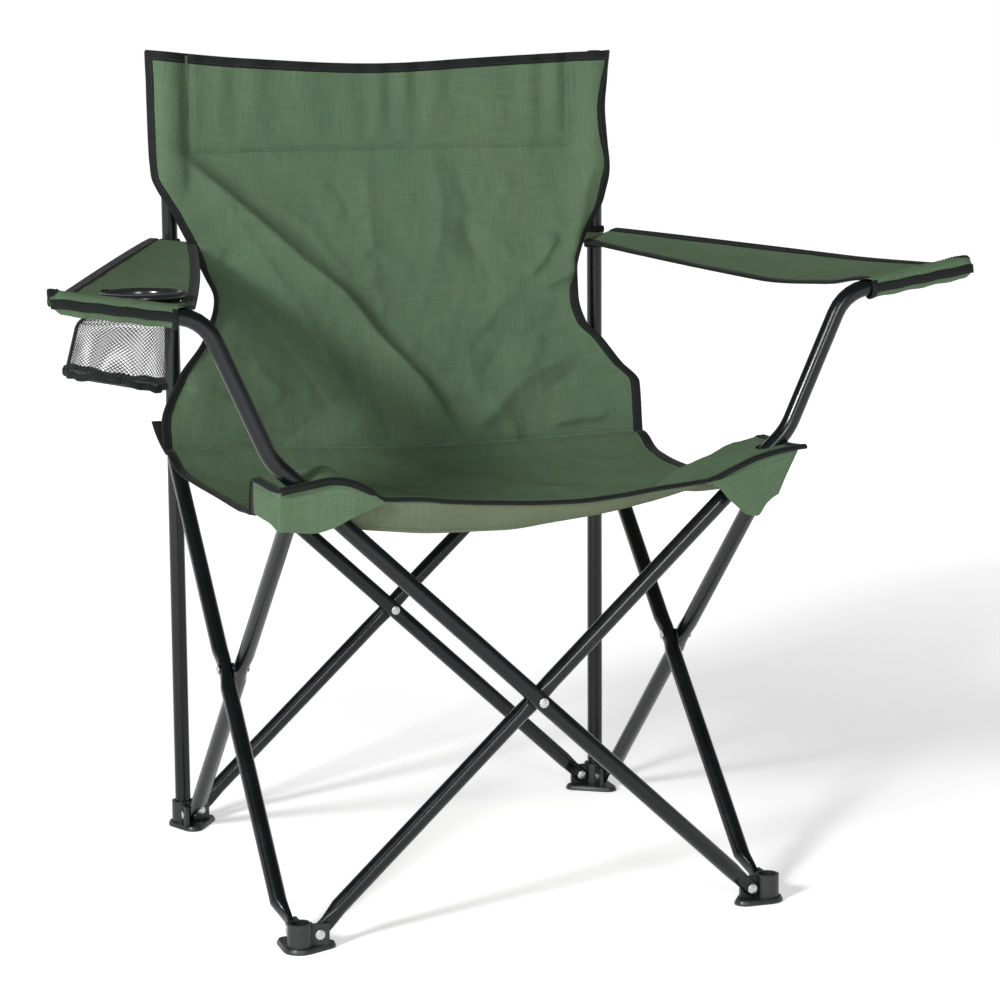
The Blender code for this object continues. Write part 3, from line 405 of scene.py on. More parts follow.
def resample(path, step, *others):
    """Points along a path at about the same step, and what others hold at those points."""
    path = np.asarray(path, float)
    lengths = np.concatenate([[0], np.linalg.norm(np.diff(path, axis=0), axis=1).cumsum()])
    count = max(2, int(round(lengths[-1] / step)) + 1)
    at = np.linspace(0, lengths[-1], count)
    return [np.stack([np.interp(at, lengths, column) for column in np.asarray(values, float).T], axis=1)
            for values in (path, *others)]


def sweep(name, path, side, normal, profile, material, closed=False):
    """A closed outline, given as (sideways, outward) points, carried along a path."""
    path, side, normal = (np.asarray(x, float) for x in (path, side, normal))
    normal = unit(normal)
    side = unit(side - normal * (side * normal).sum(axis=1, keepdims=True))
    outline = np.array(profile, float)
    count, around = len(path), len(outline)
    points = (path[:, None] + side[:, None] * outline[None, :, 0:1] + normal[:, None] * outline[None, :, 1:2])
    along = np.concatenate([[0], np.linalg.norm(np.diff(path, axis=0), axis=1).cumsum()])
    tape = np.concatenate([[0], np.linalg.norm(np.diff(outline, axis=0), axis=1).cumsum()])
    closing = np.linalg.norm(outline[0] - outline[-1])
    faces, uvs = [], []
    stations = count if closed else count - 1
    for i in range(stations):
        k = (i + 1) % count
        reach = along[i] + np.linalg.norm(path[k] - path[i])
        for j in range(around):
            m = (j + 1) % around
            end = tape[j] + closing if m == 0 else tape[m]
            faces.append((i * around + j, k * around + j, k * around + m, i * around + m))
            uvs += [(along[i], tape[j]), (reach, tape[j]), (reach, end), (along[i], end)]
    if not closed:
        for first, order in ((0, range(around)), ((count - 1) * around, range(around - 1, -1, -1))):
            faces.append([first + j for j in order])
            uvs += [tuple(outline[j]) for j in order]
    piece = new_object(name, points.reshape(-1, 3), faces, None, uvs, [material])
    turn_outward(piece)
    return piece


def turn_outward(piece):
    """Turns a closed mesh's faces outward if they all point inward."""
    mesh = piece.data
    mesh.calc_loop_triangles()
    volume = 0.0
    for triangle in mesh.loop_triangles:
        a, b, c = (mesh.vertices[v].co for v in triangle.vertices)
        volume += a.dot(b.cross(c))
    if volume < 0:
        mesh.flip_normals()


def binding_profile(width, rise=BINDING_RISE, overhang=BINDING_OVERHANG):
    """A tape folded over an edge: (into the fabric, away from its face) round the fold and back."""
    half = ((-overhang, 0.0), (-0.8 * overhang, 0.62 * rise), (-0.1 * overhang, rise),
            (0.25 * width, 1.08 * rise), (0.72 * width, rise), (0.95 * width, 0.9 * rise),
            (width, 0.55 * rise))
    return half + tuple((a, -b) for a, b in reversed(half[1:]))


def bind(name, body, fold, edge, width=BINDING_WIDTH, rise=BINDING_RISE, overhang=BINDING_OVERHANG):
    """Binding tape along an edge of the cloth, given as its path, the way into the cloth and the normal."""
    path, inward, normal = edge
    path, inward, normal = resample(path, BINDING_STEP, inward, normal)
    profile = binding_profile(width, rise, overhang)
    attach(sweep(name, path, inward, normal, profile, MATERIALS["binding"]), body, fold)


def binding_seam(path, inward, normal):
    """The row of stitches along a binding, on the side of the cloth that the normal points to."""
    return path + inward * BINDING_SEAM_IN + normal * BINDING_SEAM_UP, normal


def stitches(name, body, fold, lines, kind="thread"):
    """Rows of thread stitches along (path, normal) lines: small bowed capsules sunk at their ends."""
    shape = ((-0.5, 0.0, -0.9), (-0.44, 0.75, -0.45), (-0.2, 1.0, 0.35), (0.2, 1.0, 0.35),
             (0.44, 0.75, -0.45), (0.5, 0.0, -0.9))
    sides = 5
    points, faces = [], []
    for path, normal in lines:
        path, normal = resample(path, STITCH_PITCH, normal)
        for a, b, n in zip(path[:-1], path[1:], normal[:-1]):
            way = b - a
            size = np.linalg.norm(way)
            if size < STITCH_PITCH * 0.4:
                continue
            way, n = way / size, n / max(np.linalg.norm(n), 1e-9)
            across = np.cross(way, n)
            middle = (a + b) / 2
            first = len(points)
            for share, width, lift in shape:
                centre = middle + way * share * STITCH_LENGTH + n * lift * STITCH_RADIUS
                if width == 0:
                    points.append(centre)
                    continue
                for k in range(sides):
                    angle = 2 * math.pi * k / sides
                    out = across * math.cos(angle) + n * math.sin(angle)
                    points.append(centre + STITCH_RADIUS * width * out)
            rings = [first + 1 + sides * r for r in range(4)]
            last = rings[-1] + sides
            for k in range(sides):
                m = (k + 1) % sides
                faces.append((first, rings[0] + m, rings[0] + k))
                faces += [(p + k, p + m, q + m, q + k) for p, q in zip(rings[:-1], rings[1:])]
                faces.append((rings[-1] + k, rings[-1] + m, last))
    piece = new_object(name, points, faces, None, None, [MATERIALS[kind]])
    turn_outward(piece)
    attach(piece, body, fold)


# ---------------------------------------------------------------- materials

class Shader:
    """A material's nodes, added one at a time. An input is a number, a colour or another node's output."""

    def __init__(self, name):
        self.material = bpy.data.materials.new(name)
        self.material.use_nodes = True
        self.tree = self.material.node_tree
        self.tree.nodes.clear()
        self.surface = self.add("BsdfPrincipled")
        output = self.add("OutputMaterial")
        self.tree.links.new(self.surface.outputs[0], output.inputs[0])

    def add(self, kind, inputs=None, **settings):
        made = self.tree.nodes.new("ShaderNode" + kind)
        for key, value in settings.items():
            setattr(made, key, value)
        for key, value in (inputs or {}).items():
            self.put(made, key, value)
        return made

    def put(self, shader, key, value):
        socket = shader.inputs[key]
        if isinstance(value, bpy.types.NodeSocket):
            self.tree.links.new(value, socket)
        else:
            socket.default_value = value

    def set(self, **values):
        for key, value in values.items():
            self.put(self.surface, key.replace("_", " "), value)

    def math(self, operation, a, b=0.0, clamp=False):
        return self.add("Math", {0: a, 1: b}, operation=operation, use_clamp=clamp).outputs[0]

    def scaled(self, vector, scale):
        return self.add("VectorMath", {0: vector, 1: scale}, operation="MULTIPLY").outputs[0]

    def noise(self, vector, scale, detail=2.0, roughness=0.5):
        inputs = {"Vector": vector, "Scale": scale, "Detail": detail, "Roughness": roughness}
        return self.add("TexNoise", inputs).outputs[0]

    def ramp(self, value, low, high, start, end):
        inputs = {"Value": value, "From Min": low, "From Max": high, "To Min": start, "To Max": end}
        return self.add("MapRange", inputs).outputs[0]

    def blend(self, share, a, b):
        return self.add("Mix", {0: share, 6: a, 7: b}, data_type="RGBA").outputs[2]

    def bump(self, height, distance, strength=1.0, normal=None):
        inputs = {"Height": height, "Distance": distance, "Strength": strength}
        if normal is not None:
            inputs["Normal"] = normal
        return self.add("Bump", inputs).outputs[0]


def colour(r, g, b):
    """An sRGB colour, 0 to 255, as linear light."""
    linear = [((c / 255 + 0.055) / 1.055) ** 2.4 if c > 10 else c / 255 / 12.92 for c in (r, g, b)]
    return (*linear, 1.0)


def weave(shader):
    """A plain weave over the cloth's own metres: the metres, its height, and which thread is on top."""
    uv = shader.add("TexCoord").outputs["UV"]
    apart = shader.add("SeparateXYZ", {0: uv})
    warp = shader.math("SINE", shader.math("MULTIPLY", apart.outputs[0], math.pi / WEAVE_PITCH))
    weft = shader.math("SINE", shader.math("MULTIPLY", apart.outputs[1], math.pi / WEAVE_PITCH))
    over = shader.math("MULTIPLY", warp, weft)
    return uv, shader.math("ABSOLUTE", over), over


def fabric(name, base, light, dark, sheen=0.25, roughness=0.78, coat=False):
    """Woven polyester: threads with painted shade in the gaps between them, slubs that run with them, a
    drifting tone and a soft sheen.
    """
    s = Shader(name)
    uv, height, over = weave(s)
    warp_slub = s.noise(s.scaled(uv, (1400, 26, 1)), 1.0, 2.0)
    weft_slub = s.noise(s.scaled(uv, (26, 1400, 1)), 1.0, 2.0)
    slub = s.math("MULTIPLY", s.math("ADD", warp_slub, weft_slub), 0.5)
    speck = s.noise(s.scaled(uv, (520, 520, 1)), 1.0, 3.0, 0.7)
    drift = s.noise(s.scaled(uv, (7, 5, 1)), 1.0, 3.0, 0.55)
    toned = s.blend(s.ramp(drift, 0.3, 0.7, 0.0, 1.0), base, light)
    threads = s.math("ADD", s.math("MULTIPLY", slub, 0.75), s.math("MULTIPLY", speck, 0.25))
    toned = s.blend(s.ramp(threads, 0.62, 0.40, 0.0, 0.75), toned, dark)
    toned = s.blend(s.ramp(over, -0.2, 0.9, 0.0, 0.16), toned, light)
    # painted shade: darker where the weave is low, in the gaps between the threads
    toned = s.blend(s.ramp(height, 0.35, 0.0, 0.0, 0.30), toned, dark)
    rough = s.ramp(speck, 0.3, 0.7, roughness - 0.06, roughness + 0.08)
    fine = s.math("ADD", height, s.math("MULTIPLY", slub, 1.2))
    shape = s.bump(fine, 0.00016, 0.85)
    shape = s.bump(s.noise(s.scaled(uv, (48, 40, 1)), 1.0, 3.0, 0.6), 0.0014, 0.55, shape)
    s.set(Base_Color=toned, Roughness=rough, Normal=shape)
    s.set(Sheen_Weight=sheen, Sheen_Roughness=0.45, Sheen_Tint=light, Specular_IOR_Level=0.22)
    if coat:
        s.set(Coat_Weight=0.08, Coat_Roughness=0.5)
    return s.material


def ribbed_tape(name, base, light):
    """Binding tape: fine ribs across it with a painted highlight on their crests, and a few paler fuzzy
    threads in worn patches.
    """
    s = Shader(name)
    uv = s.add("TexCoord").outputs["UV"]
    apart = s.add("SeparateXYZ", {0: uv})
    rib = s.math("SINE", s.math("MULTIPLY", apart.outputs[0], 2 * math.pi / 0.0011))
    cross = s.math("SINE", s.math("MULTIPLY", apart.outputs[1], 2 * math.pi / 0.0009))
    pattern = s.math("ADD", s.math("MULTIPLY", rib, 0.5), s.math("MULTIPLY", cross, 0.25))
    fuzz = s.noise(s.scaled(uv, (900, 900, 1)), 1.0, 3.0, 0.7)
    drift = s.noise(s.scaled(uv, (22, 60, 1)), 1.0, 2.0)
    worn = s.math("MULTIPLY", s.ramp(fuzz, 0.45, 0.75, 0.0, 1.0), s.ramp(drift, 0.35, 0.7, 0.1, 0.9))
    # paler in worn patches, and paler on the crests of the ribs as a painted highlight
    toned = s.blend(s.math("ADD", worn, s.ramp(pattern, 0.2, 0.75, 0.0, 0.25), clamp=True), base, light)
    height = s.math("ADD", pattern, s.math("MULTIPLY", fuzz, 0.8))
    shape = s.bump(height, 0.00014, 0.8)
    shape = s.bump(drift, 0.0007, 0.5, shape)
    s.set(Base_Color=toned, Roughness=s.ramp(fuzz, 0.3, 0.7, 0.62, 0.82), Normal=shape)
    s.set(Sheen_Weight=0.04, Sheen_Roughness=0.4, Specular_IOR_Level=0.18)
    return s.material


def powder_coat():
    """Satin black powder coat over steel tube: orange peel, a little dust, and rubbed patches."""
    s = Shader("powder_coat")
    place = s.add("TexCoord").outputs["Object"]
    peel = s.noise(place, 620.0, 2.0, 0.5)
    dust = s.noise(place, 34.0, 5.0, 0.65)
    rub = s.noise(s.scaled(place, (180, 180, 40)), 1.0, 3.0, 0.6)
    rubbed = s.ramp(rub, 0.66, 0.80, 0.0, 0.5)
    toned = s.blend(s.ramp(dust, 0.45, 0.8, 0.0, 0.25), colour(7, 12, 13), colour(24, 31, 31))
    toned = s.blend(rubbed, toned, colour(36, 43, 43))
    rough = s.math("ADD", s.ramp(dust, 0.3, 0.75, 0.20, 0.32), s.math("MULTIPLY", rubbed, -0.08))
    s.set(Base_Color=toned, Roughness=rough, Normal=s.bump(peel, 0.00006, 0.6))
    s.set(Specular_IOR_Level=0.28, Coat_Weight=0.14, Coat_Roughness=0.08)
    return s.material


def moulded_plastic(name, base, light, roughness, gloss=0.5, grain=1900.0):
    """Moulded plastic: a fine spark grain, scuffed paler on patches, with faint flow marks."""
    s = Shader(name)
    place = s.add("TexCoord").outputs["Object"]
    spark = s.noise(place, grain, 2.0, 0.6)
    scuff = s.noise(s.scaled(place, (90, 90, 260)), 1.0, 4.0, 0.7)
    flow = s.noise(place, 26.0, 3.0, 0.5)
    marked = s.ramp(scuff, 0.58, 0.78, 0.0, 0.6)
    toned = s.blend(s.ramp(flow, 0.3, 0.7, 0.0, 0.3), base, light)
    toned = s.blend(marked, toned, light)
    rough = s.math("ADD", s.ramp(flow, 0.3, 0.7, roughness - 0.05, roughness + 0.07),
                   s.math("MULTIPLY", marked, 0.12))
    s.set(Base_Color=toned, Roughness=rough, Normal=s.bump(spark, 0.00005, 0.5), Specular_IOR_Level=gloss)
    return s.material


def rivet_steel():
    """Zinc-plated rivet heads: brushed, with dull spots where the plating has tarnished."""
    s = Shader("rivet_steel")
    place = s.add("TexCoord").outputs["Object"]
    fine = s.noise(s.scaled(place, (2600, 2600, 500)), 1.0, 2.0)
    spots = s.noise(place, 420.0, 4.0, 0.7)
    toned = s.blend(s.ramp(spots, 0.5, 0.75, 0.0, 0.7), colour(196, 198, 196), colour(122, 122, 118))
    s.set(Base_Color=toned, Roughness=s.ramp(spots, 0.35, 0.75, 0.24, 0.5), Metallic=1.0)
    s.set(Normal=s.bump(fine, 0.00003, 0.5))
    return s.material


def thread(name, base, light):
    """Twisted sewing thread or net cord."""
    s = Shader(name)
    place = s.add("TexCoord").outputs["Object"]
    twist = s.noise(place, 2400.0, 2.0, 0.6)
    drift = s.noise(place, 60.0, 2.0)
    toned = s.blend(s.ramp(twist, 0.35, 0.7, 0.0, 0.8), base, light)
    s.set(Base_Color=toned, Roughness=s.ramp(drift, 0.3, 0.7, 0.6, 0.8))
    s.set(Normal=s.bump(twist, 0.00008, 0.7), Sheen_Weight=0.15, Specular_IOR_Level=0.35)
    return s.material


GREEN = fabric("green_polyester", colour(79, 99, 75), colour(94, 112, 84), colour(54, 78, 59))
REVERSE = fabric("green_polyester_reverse", colour(88, 98, 74), colour(104, 112, 86), colour(72, 84, 64),
                 sheen=0.10, roughness=0.66, coat=True)
CLOTH = [GREEN, REVERSE]
MATERIALS = {
    "binding": ribbed_tape("binding_tape", colour(12, 16, 14), colour(36, 42, 37)),
    "tube": powder_coat(),
    "plastic": moulded_plastic("black_plastic", colour(21, 24, 24), colour(48, 52, 52), 0.42),
    "ring": moulded_plastic("ring_plastic", colour(19, 22, 24), colour(38, 42, 46), 0.20, 0.6, 900.0),
    "rivet": rivet_steel(),
    "thread": thread("seam_thread", colour(44, 64, 48), colour(70, 90, 66)),
    "dark_thread": thread("binding_thread", colour(14, 17, 15), colour(30, 34, 31)),
    "net": thread("net_cord", colour(22, 24, 24), colour(56, 58, 58)),
}


def smooth_edges():
    """Geometry nodes that weld a CAD node's triangles and round its shading, except over sharp edges."""
    group = bpy.data.node_groups.new("smooth_edges", "GeometryNodeTree")
    group.interface.new_socket("Geometry", in_out="INPUT", socket_type="NodeSocketGeometry")
    group.interface.new_socket("Geometry", in_out="OUTPUT", socket_type="NodeSocketGeometry")
    nodes, link = group.nodes, group.links.new
    entry, leave = nodes.new("NodeGroupInput"), nodes.new("NodeGroupOutput")
    weld = nodes.new("GeometryNodeMergeByDistance")
    weld.inputs["Distance"].default_value = 1e-5
    plain = nodes.new("GeometryNodeRemoveAttribute")
    plain.inputs["Name"].default_value = "custom_normal"
    faces = nodes.new("GeometryNodeSetShadeSmooth")
    faces.domain = "FACE"
    edges = nodes.new("GeometryNodeSetShadeSmooth")
    edges.domain = "EDGE"
    angle = nodes.new("GeometryNodeInputMeshEdgeAngle")
    blunt = nodes.new("FunctionNodeCompare")
    blunt.operation = "LESS_EQUAL"
    blunt.inputs["B"].default_value = math.radians(38)
    link(angle.outputs["Unsigned Angle"], blunt.inputs["A"])
    link(blunt.outputs[0], edges.inputs["Shade Smooth"])
    chain = [entry, weld, plain, faces, edges, leave]
    for a, b in zip(chain[:-1], chain[1:]):
        link(a.outputs[0], b.inputs[0])
    return group


def finish_cad_nodes():
    group = smooth_edges()
    kinds = (("rivet", "rivet"), ("tube_plug", "plastic"), ("post_plug", "plastic"), ("tube", "tube"),
             ("post", "tube"), ("", "plastic"))
    for name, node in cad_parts.items():
        kind = next(value for key, value in kinds if key in name)
        node.data.materials.clear()
        node.data.materials.append(MATERIALS[kind])
        node.modifiers.new("smooth", "NODES").node_group = group


# ---------------------------------------------------------------- back and seat

def back_grid(columns):
    """The back's points, from its top edge down to the seam with the seat."""
    right, left = value_curve(BACK_RIGHT_EDGE), value_curve(BACK_LEFT_EDGE)
    top, seam = value_curve(BACK_TOP), value_curve(BACK_SEAM)
    depth, bow, bulge = value_curve(BACK_EDGE_DEPTH), value_curve(BACK_BOW), value_curve(SLEEVE_BULGE)
    u = np.linspace(0, 1, columns)[None, :]
    v = np.linspace(0, 1, BACK_ROWS)[:, None]
    around = mix(-0.25, 0.25, u)
    z = mix(top(around), seam(around), v)
    x = mix(right(z), left(z), u)
    z = mix(top(x), seam(x), v)
    share = 2 * u - 1
    y = depth(z) + bow(z) * (1 - share ** 2)
    sleeve = smooth_step((z - 0.645) / 0.045)
    y = y - sleeve * bulge(np.abs(x))
    # the headband between the sleeves: a groove along its seam, then a thicker double layer above it
    between = smooth_step((0.209 - np.abs(x)) / 0.008)
    y = y + between * 0.0016 * np.exp(-((z - SLEEVE_BOTTOM) / 0.0032) ** 2)
    y = y - between * 0.0012 * smooth_step((z - SLEEVE_BOTTOM) / 0.004)
    # a shallow rise along each sleeve's double row of stitches
    for stitched in (-0.2118, 0.1994):
        y = y + smooth_step((z - 0.695) / 0.006) * 0.0012 * np.exp(-((x - stitched) / 0.0042) ** 2)
    band = smooth_step((z - 0.705) / 0.015) * between
    pucker = np.sin(x / 0.0062 + 2.2 * np.sin(x / 0.031)) * (0.35 + 0.65 * np.sin(x / 0.047 + 1.0) ** 2)
    y = y + band * 0.0019 * pucker * (0.5 + 0.5 * smooth_step((z - 0.72) / 0.05))
    loose = 1 - 0.85 * smooth_step((z - 0.69) / 0.02)
    small = scattered_folds(41, 26, (-0.17, 0.44), (0.17, 0.69), (-80, -25), (0.05, 0.12),
                            (0.0014, 0.0034), (0.005, 0.011))
    small += scattered_folds(42, 12, (0.08, 0.44), (0.2, 0.66), (20, 70), (0.04, 0.08),
                             (0.0014, 0.0032), (0.005, 0.010))
    lift = BACK_FOLD_DEPTH * sum(fold_height(x, z, *fold) for fold in BACK_FOLDS)
    lift = lift + sum(fold_height(x, z, *fold) for fold in small)
    y = y - lift * loose * smooth_step((1 - np.abs(share)) / 0.06 + 0.15)
    y = y + ripples(x, z, 11, 0.0008, 0.075, 1.6) * (0.4 + 0.6 * loose) + ripples(x, z, 12, 0.0003, 0.028)
    return np.stack([x, y, z], axis=2)


def seat_grid(columns, seam_row):
    """The seat's points, from the row after the seam to its front edge, with its raised corners."""
    side, middle, half = (value_curve(c) for c in (SEAT_SIDE_HEIGHT, SEAT_MIDDLE_HEIGHT, SEAT_HALF_WIDTH))
    front = value_curve(FRONT_EDGE_HEIGHT)
    u = np.linspace(0, 1, columns)[None, :]
    w = np.linspace(0, 1, SEAT_ROWS)[1:, None]
    share = 2 * u - 1
    x = share * half(w)
    x = mix(seam_row[None, :, 0], x, smooth_step(w / 0.05))
    x = x + 0.0095 * smooth_step((w - 0.94) / 0.06) * np.maximum(share, 0) ** 6
    corner = smooth_step((np.abs(x) - 0.150) / 0.025)
    y_front = mix(SEAT_FRONT_Y, SEAT_CORNER_Y, corner)
    y = mix(seam_row[None, :, 1], y_front, w)
    hang = middle(w) + (side(w) - middle(w)) * np.abs(share) ** 2.1
    hang = mix(seam_row[None, :, 2], hang, smooth_step(w / 0.10))
    start = mix(0.62, 0.756, smooth_step((np.abs(x) - 0.14) / 0.105))
    full = mix(0.90, 0.792, smooth_step((np.abs(x) - 0.14) / 0.105))
    lifted = smooth_step((w - start) / (full - start)) * smooth_step((np.abs(x) - 0.118) / 0.05)
    rise_all = smooth_step((w - 0.80) / 0.20)
    z = hang + (front(x) - hang) * np.maximum(lifted, rise_all)
    small = scattered_folds(51, 16, (-0.20, -0.18), (0.14, 0.13), (-25, 25), (0.05, 0.12),
                            (0.0010, 0.0026), (0.006, 0.013))
    lift = sum(fold_height(x, y, *fold) for fold in [*SEAT_FOLDS, *small])
    calm = smooth_step((1 - w) / 0.12) * smooth_step((1 - np.abs(share)) / 0.10)
    lift = lift + ripples(x, y, 21, 0.0013, 0.085) + ripples(x, y, 22, 0.0004, 0.03)
    z = z + lift * calm * smooth_step(w / 0.06)
    return np.stack([x, y, z], axis=2)


def round_opening(grid, keep, centre, radius):
    """Cuts a round opening: drops the quads inside it and draws the points round it to the circle."""
    flat = grid[:, :, :2] - np.array(centre)
    reach = np.hypot(flat[:, :, 0], flat[:, :, 1])
    middles = (reach[:-1, :-1] + reach[1:, :-1] + reach[:-1, 1:] + reach[1:, 1:]) / 4
    keep &= ~(middles < radius)
    touching = np.zeros(reach.shape, bool)
    dropped = ~keep & (middles < radius * 1.6)
    for di in (0, 1):
        for dj in (0, 1):
            touching[di:di + dropped.shape[0], dj:dj + dropped.shape[1]] |= dropped
    near = touching & (np.abs(reach - radius) < 0.6 * radius) & (reach > 1e-6)
    scale = np.where(near, radius / np.maximum(reach, 1e-6), 1.0)
    moved = flat * scale[:, :, None]
    grid[:, :, :2] = np.where(near[:, :, None], moved + np.array(centre), grid[:, :, :2])
    return keep


def edge_run(cloth, rows, column):
    """The path of one side of the cloth over some rows, with the way into the cloth and its normal."""
    other = 1 if column == 0 else -2
    path = cloth.grid[rows, column]
    inward = unit(cloth.grid[rows, other] - path)
    return path, inward, cloth.normals[rows, column]


def end_run(cloth, row, columns):
    """The same for one end of the cloth over some columns."""
    other = 1 if row == 0 else -2
    path = cloth.grid[row, columns]
    inward = unit(cloth.grid[other, columns] - path)
    return path, inward, cloth.normals[row, columns]


def line_at(strips, axis, value):
    """A line on the cloth's face, through the place on each (points, normals) strip with that coordinate."""
    path, normal = [], []
    for points, normals in strips:
        order = np.argsort(points[:, axis])
        path.append([np.interp(value, points[order, axis], points[order, k]) for k in range(3)])
        normal.append([np.interp(value, points[order, axis], normals[order, k]) for k in range(3)])
    path, normal = np.array(path), unit(np.array(normal))
    return path + normal * CLOTH_THICKNESS / 2, normal


def make_sling():
    """The back and the seat, on one grid, cut into the pieces that move apart as the chair folds."""
    columns = SLING_COLUMNS
    back = back_grid(columns)
    grid = np.concatenate([back, seat_grid(columns, back[-1])])[:, ::-1].copy()
    back_rows = back.shape[0]
    cloth = Cloth(grid)
    split, band = (int(np.argmin(np.abs(grid[:back_rows, columns // 2, 2] - height)))
                   for height in (SPLIT_HEIGHT, SLEEVE_BOTTOM))
    cut_sling(cloth, back_rows, split, band)
    bind_sling(cloth, back_rows, split, band)
    stitch_sling(cloth, back_rows, band)


def cut_sling(cloth, back_rows, split, band):
    """The sling's six pieces of cloth."""
    grid = cloth.grid
    mid = (grid[:-1, :-1] + grid[1:, :-1] + grid[:-1, 1:] + grid[1:, 1:]) / 4
    rows = np.arange(mid.shape[0])[:, None]
    is_back = rows < back_rows - 1
    upper = is_back & (rows < split)
    sleeve = upper & (rows < band)
    beside = np.abs(mid[:, :, 0]) > SLEEVE_SEAM
    on_slider = (mid[:, :, 1] > SEAT_REAR_HINGE) & ~is_back
    rear_half = ~is_back & ~on_slider & (mid[:, :, 1] > SEAT_CREASE)
    front_half = ~is_back & (mid[:, :, 1] <= SEAT_CREASE)
    for side, sign in (("right", -1), ("left", 1)):
        centre = (sign * TUBE_THROUGH_SEAT, ARM_TUBE_Y[side])
        front_half = round_opening(grid, front_half, centre, TUBE_OPENING)
    parts = (
        ("back_centre", upper & ~(sleeve & beside), "frame_root", BACK_FOLD),
        ("back_sleeve_right", sleeve & beside & (mid[:, :, 0] < 0), "frame_root", None),
        ("back_sleeve_left", sleeve & beside & (mid[:, :, 0] > 0), "foot_rear_left", None),
        ("back_lower", (is_back & ~upper) | on_slider, "slider_rear_right", BACK_FOLD),
        ("seat_fabric_rear", rear_half, "seat_rear", SEAT_FOLD),
        ("seat_fabric_front", front_half, "seat_front", SEAT_FOLD),
    )
    for name, keep, body, fold in parts:
        sew(cloth, name, body, fold, keep)
    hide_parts("back_panel")
    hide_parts("seat_rear")
    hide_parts("seat_front")


def bind_sling(cloth, back_rows, split, band):
    """The bindings round the sling, cut where the cloth is, and their stitches."""
    grid = cloth.grid
    dark_lines = []
    for side, column in (("right", SLING_COLUMNS - 1), ("left", 0)):
        y = grid[:, column, 1]
        hinge = back_rows + int(np.argmax(y[back_rows:] < SEAT_REAR_HINGE))
        crease = back_rows + int(np.argmax(y[back_rows:] < SEAT_CREASE))
        post_body = "frame_root" if side == "right" else "foot_rear_left"
        runs = (
            ("sleeve", 0, band, post_body, None),
            ("upper", band, split, "frame_root", BACK_FOLD),
            ("lower", split, hinge, "slider_rear_right", BACK_FOLD),
            ("seat_rear", hinge, crease, "seat_rear", SEAT_FOLD),
            ("seat_front", crease, len(y) - 1, "seat_front", SEAT_FOLD),
        )
        for part, first, last, body, fold in runs:
            path, inward, normal = edge_run(cloth, slice(first, last + 1), column)
            bind(f"binding_{part}_{side}", body, fold, (path, inward, normal))
            for face in (1, -1):
                dark_lines.append((body, fold, part + side, *binding_seam(path, inward, normal * face)))
    x_top = grid[0, :, 0]
    spans = (
        ("right", x_top <= -SLEEVE_SEAM + 0.004, "frame_root", None),
        ("middle", np.abs(x_top) <= SLEEVE_SEAM + 0.002, "frame_root", BACK_FOLD),
        ("left", x_top >= SLEEVE_SEAM - 0.004, "foot_rear_left", None),
    )
    for part, which, body, fold in spans:
        edge = end_run(cloth, 0, np.nonzero(which)[0])
        bind(f"binding_top_{part}", body, fold, edge)
        dark_lines.append((body, fold, "top" + part, *binding_seam(*edge)))
    x_front = grid[-1, :, 0]
    for part, which, rise, overhang in (("right", x_front < -0.160, 0.0034, 0.0052),
                                        ("middle", np.abs(x_front) <= 0.163, 0.0019, 0.0030),
                                        ("left", x_front > 0.160, 0.0022, 0.0036)):
        edge = end_run(cloth, len(grid) - 1, np.nonzero(which)[0])
        bind(f"binding_seat_front_{part}", "seat_front", SEAT_FOLD, edge, 0.0052, rise, overhang)
    for body, fold, part, path, normal in dark_lines:
        name = f"binding_thread_{part}" + ("" if normal[0][1] <= 0 or "top" in part else "_inside")
        stitches(name, body, fold, [(path, normal)], "dark_thread")


def stitch_sling(cloth, back_rows, band):
    """The headband's seam, the sleeves' double rows, and the double row where the back meets the seat."""
    grid, normals = cloth.grid, cloth.normals
    wide = [c for c in range(SLING_COLUMNS) if abs(grid[band, c, 0]) < SLEEVE_SEAM - 0.008]
    lines = [line_at([(grid[:back_rows, c], normals[:back_rows, c]) for c in wide], 2, SLEEVE_BOTTOM)]
    for x in SLEEVE_STITCHES:
        lines.append(line_at([(grid[r], normals[r]) for r in range(2, band)], 0, x))
    stitches("back_thread_upper", "frame_root", BACK_FOLD, lines)
    lines = [cloth.seam(row, slice(3, -3)) for row in (back_rows - 2, back_rows + 1)]
    stitches("back_thread_lower", "slider_rear_right", BACK_FOLD, lines)


def make_rear_sleeves():
    """The rear layer of each post's sleeve, from the seam beside the post round it to the outer edge."""
    top = value_curve(BACK_TOP)
    for side, sign, body in (("right", -1, "frame_root"), ("left", 1, "foot_rear_left")):
        outer = 0.2495 if side == "right" else 0.2435
        angle = np.linspace(math.radians(-62), math.radians(80), 22)
        ring = POST_RADIUS + 0.0021
        across = [sign * 0.2085] + [sign * (FRAME_HALF + ring * math.sin(a)) for a in angle] + [sign * outer]
        behind = [0.2325] + [FRAME_HALF + ring * math.cos(a) for a in angle] + [0.2365]
        across, behind = np.array(across), np.array(behind)
        rows = np.linspace(0, 1, 26)[:, None]
        z = mix(top(across[None, :]) - 0.001, SLEEVE_BOTTOM - 0.001, rows)
        x = across[None, :] + 0 * rows
        y = behind[None, :] + 0.0008 * np.sin(z / 0.011 + 20 * across[None, :])
        grid = np.stack([x, y, z], axis=2)
        cloth = Cloth(grid if side == "right" else grid[:, ::-1])
        sew(cloth, f"back_sleeve_rear_{side}", body)


# ---------------------------------------------------------------- seat front: hem and pockets

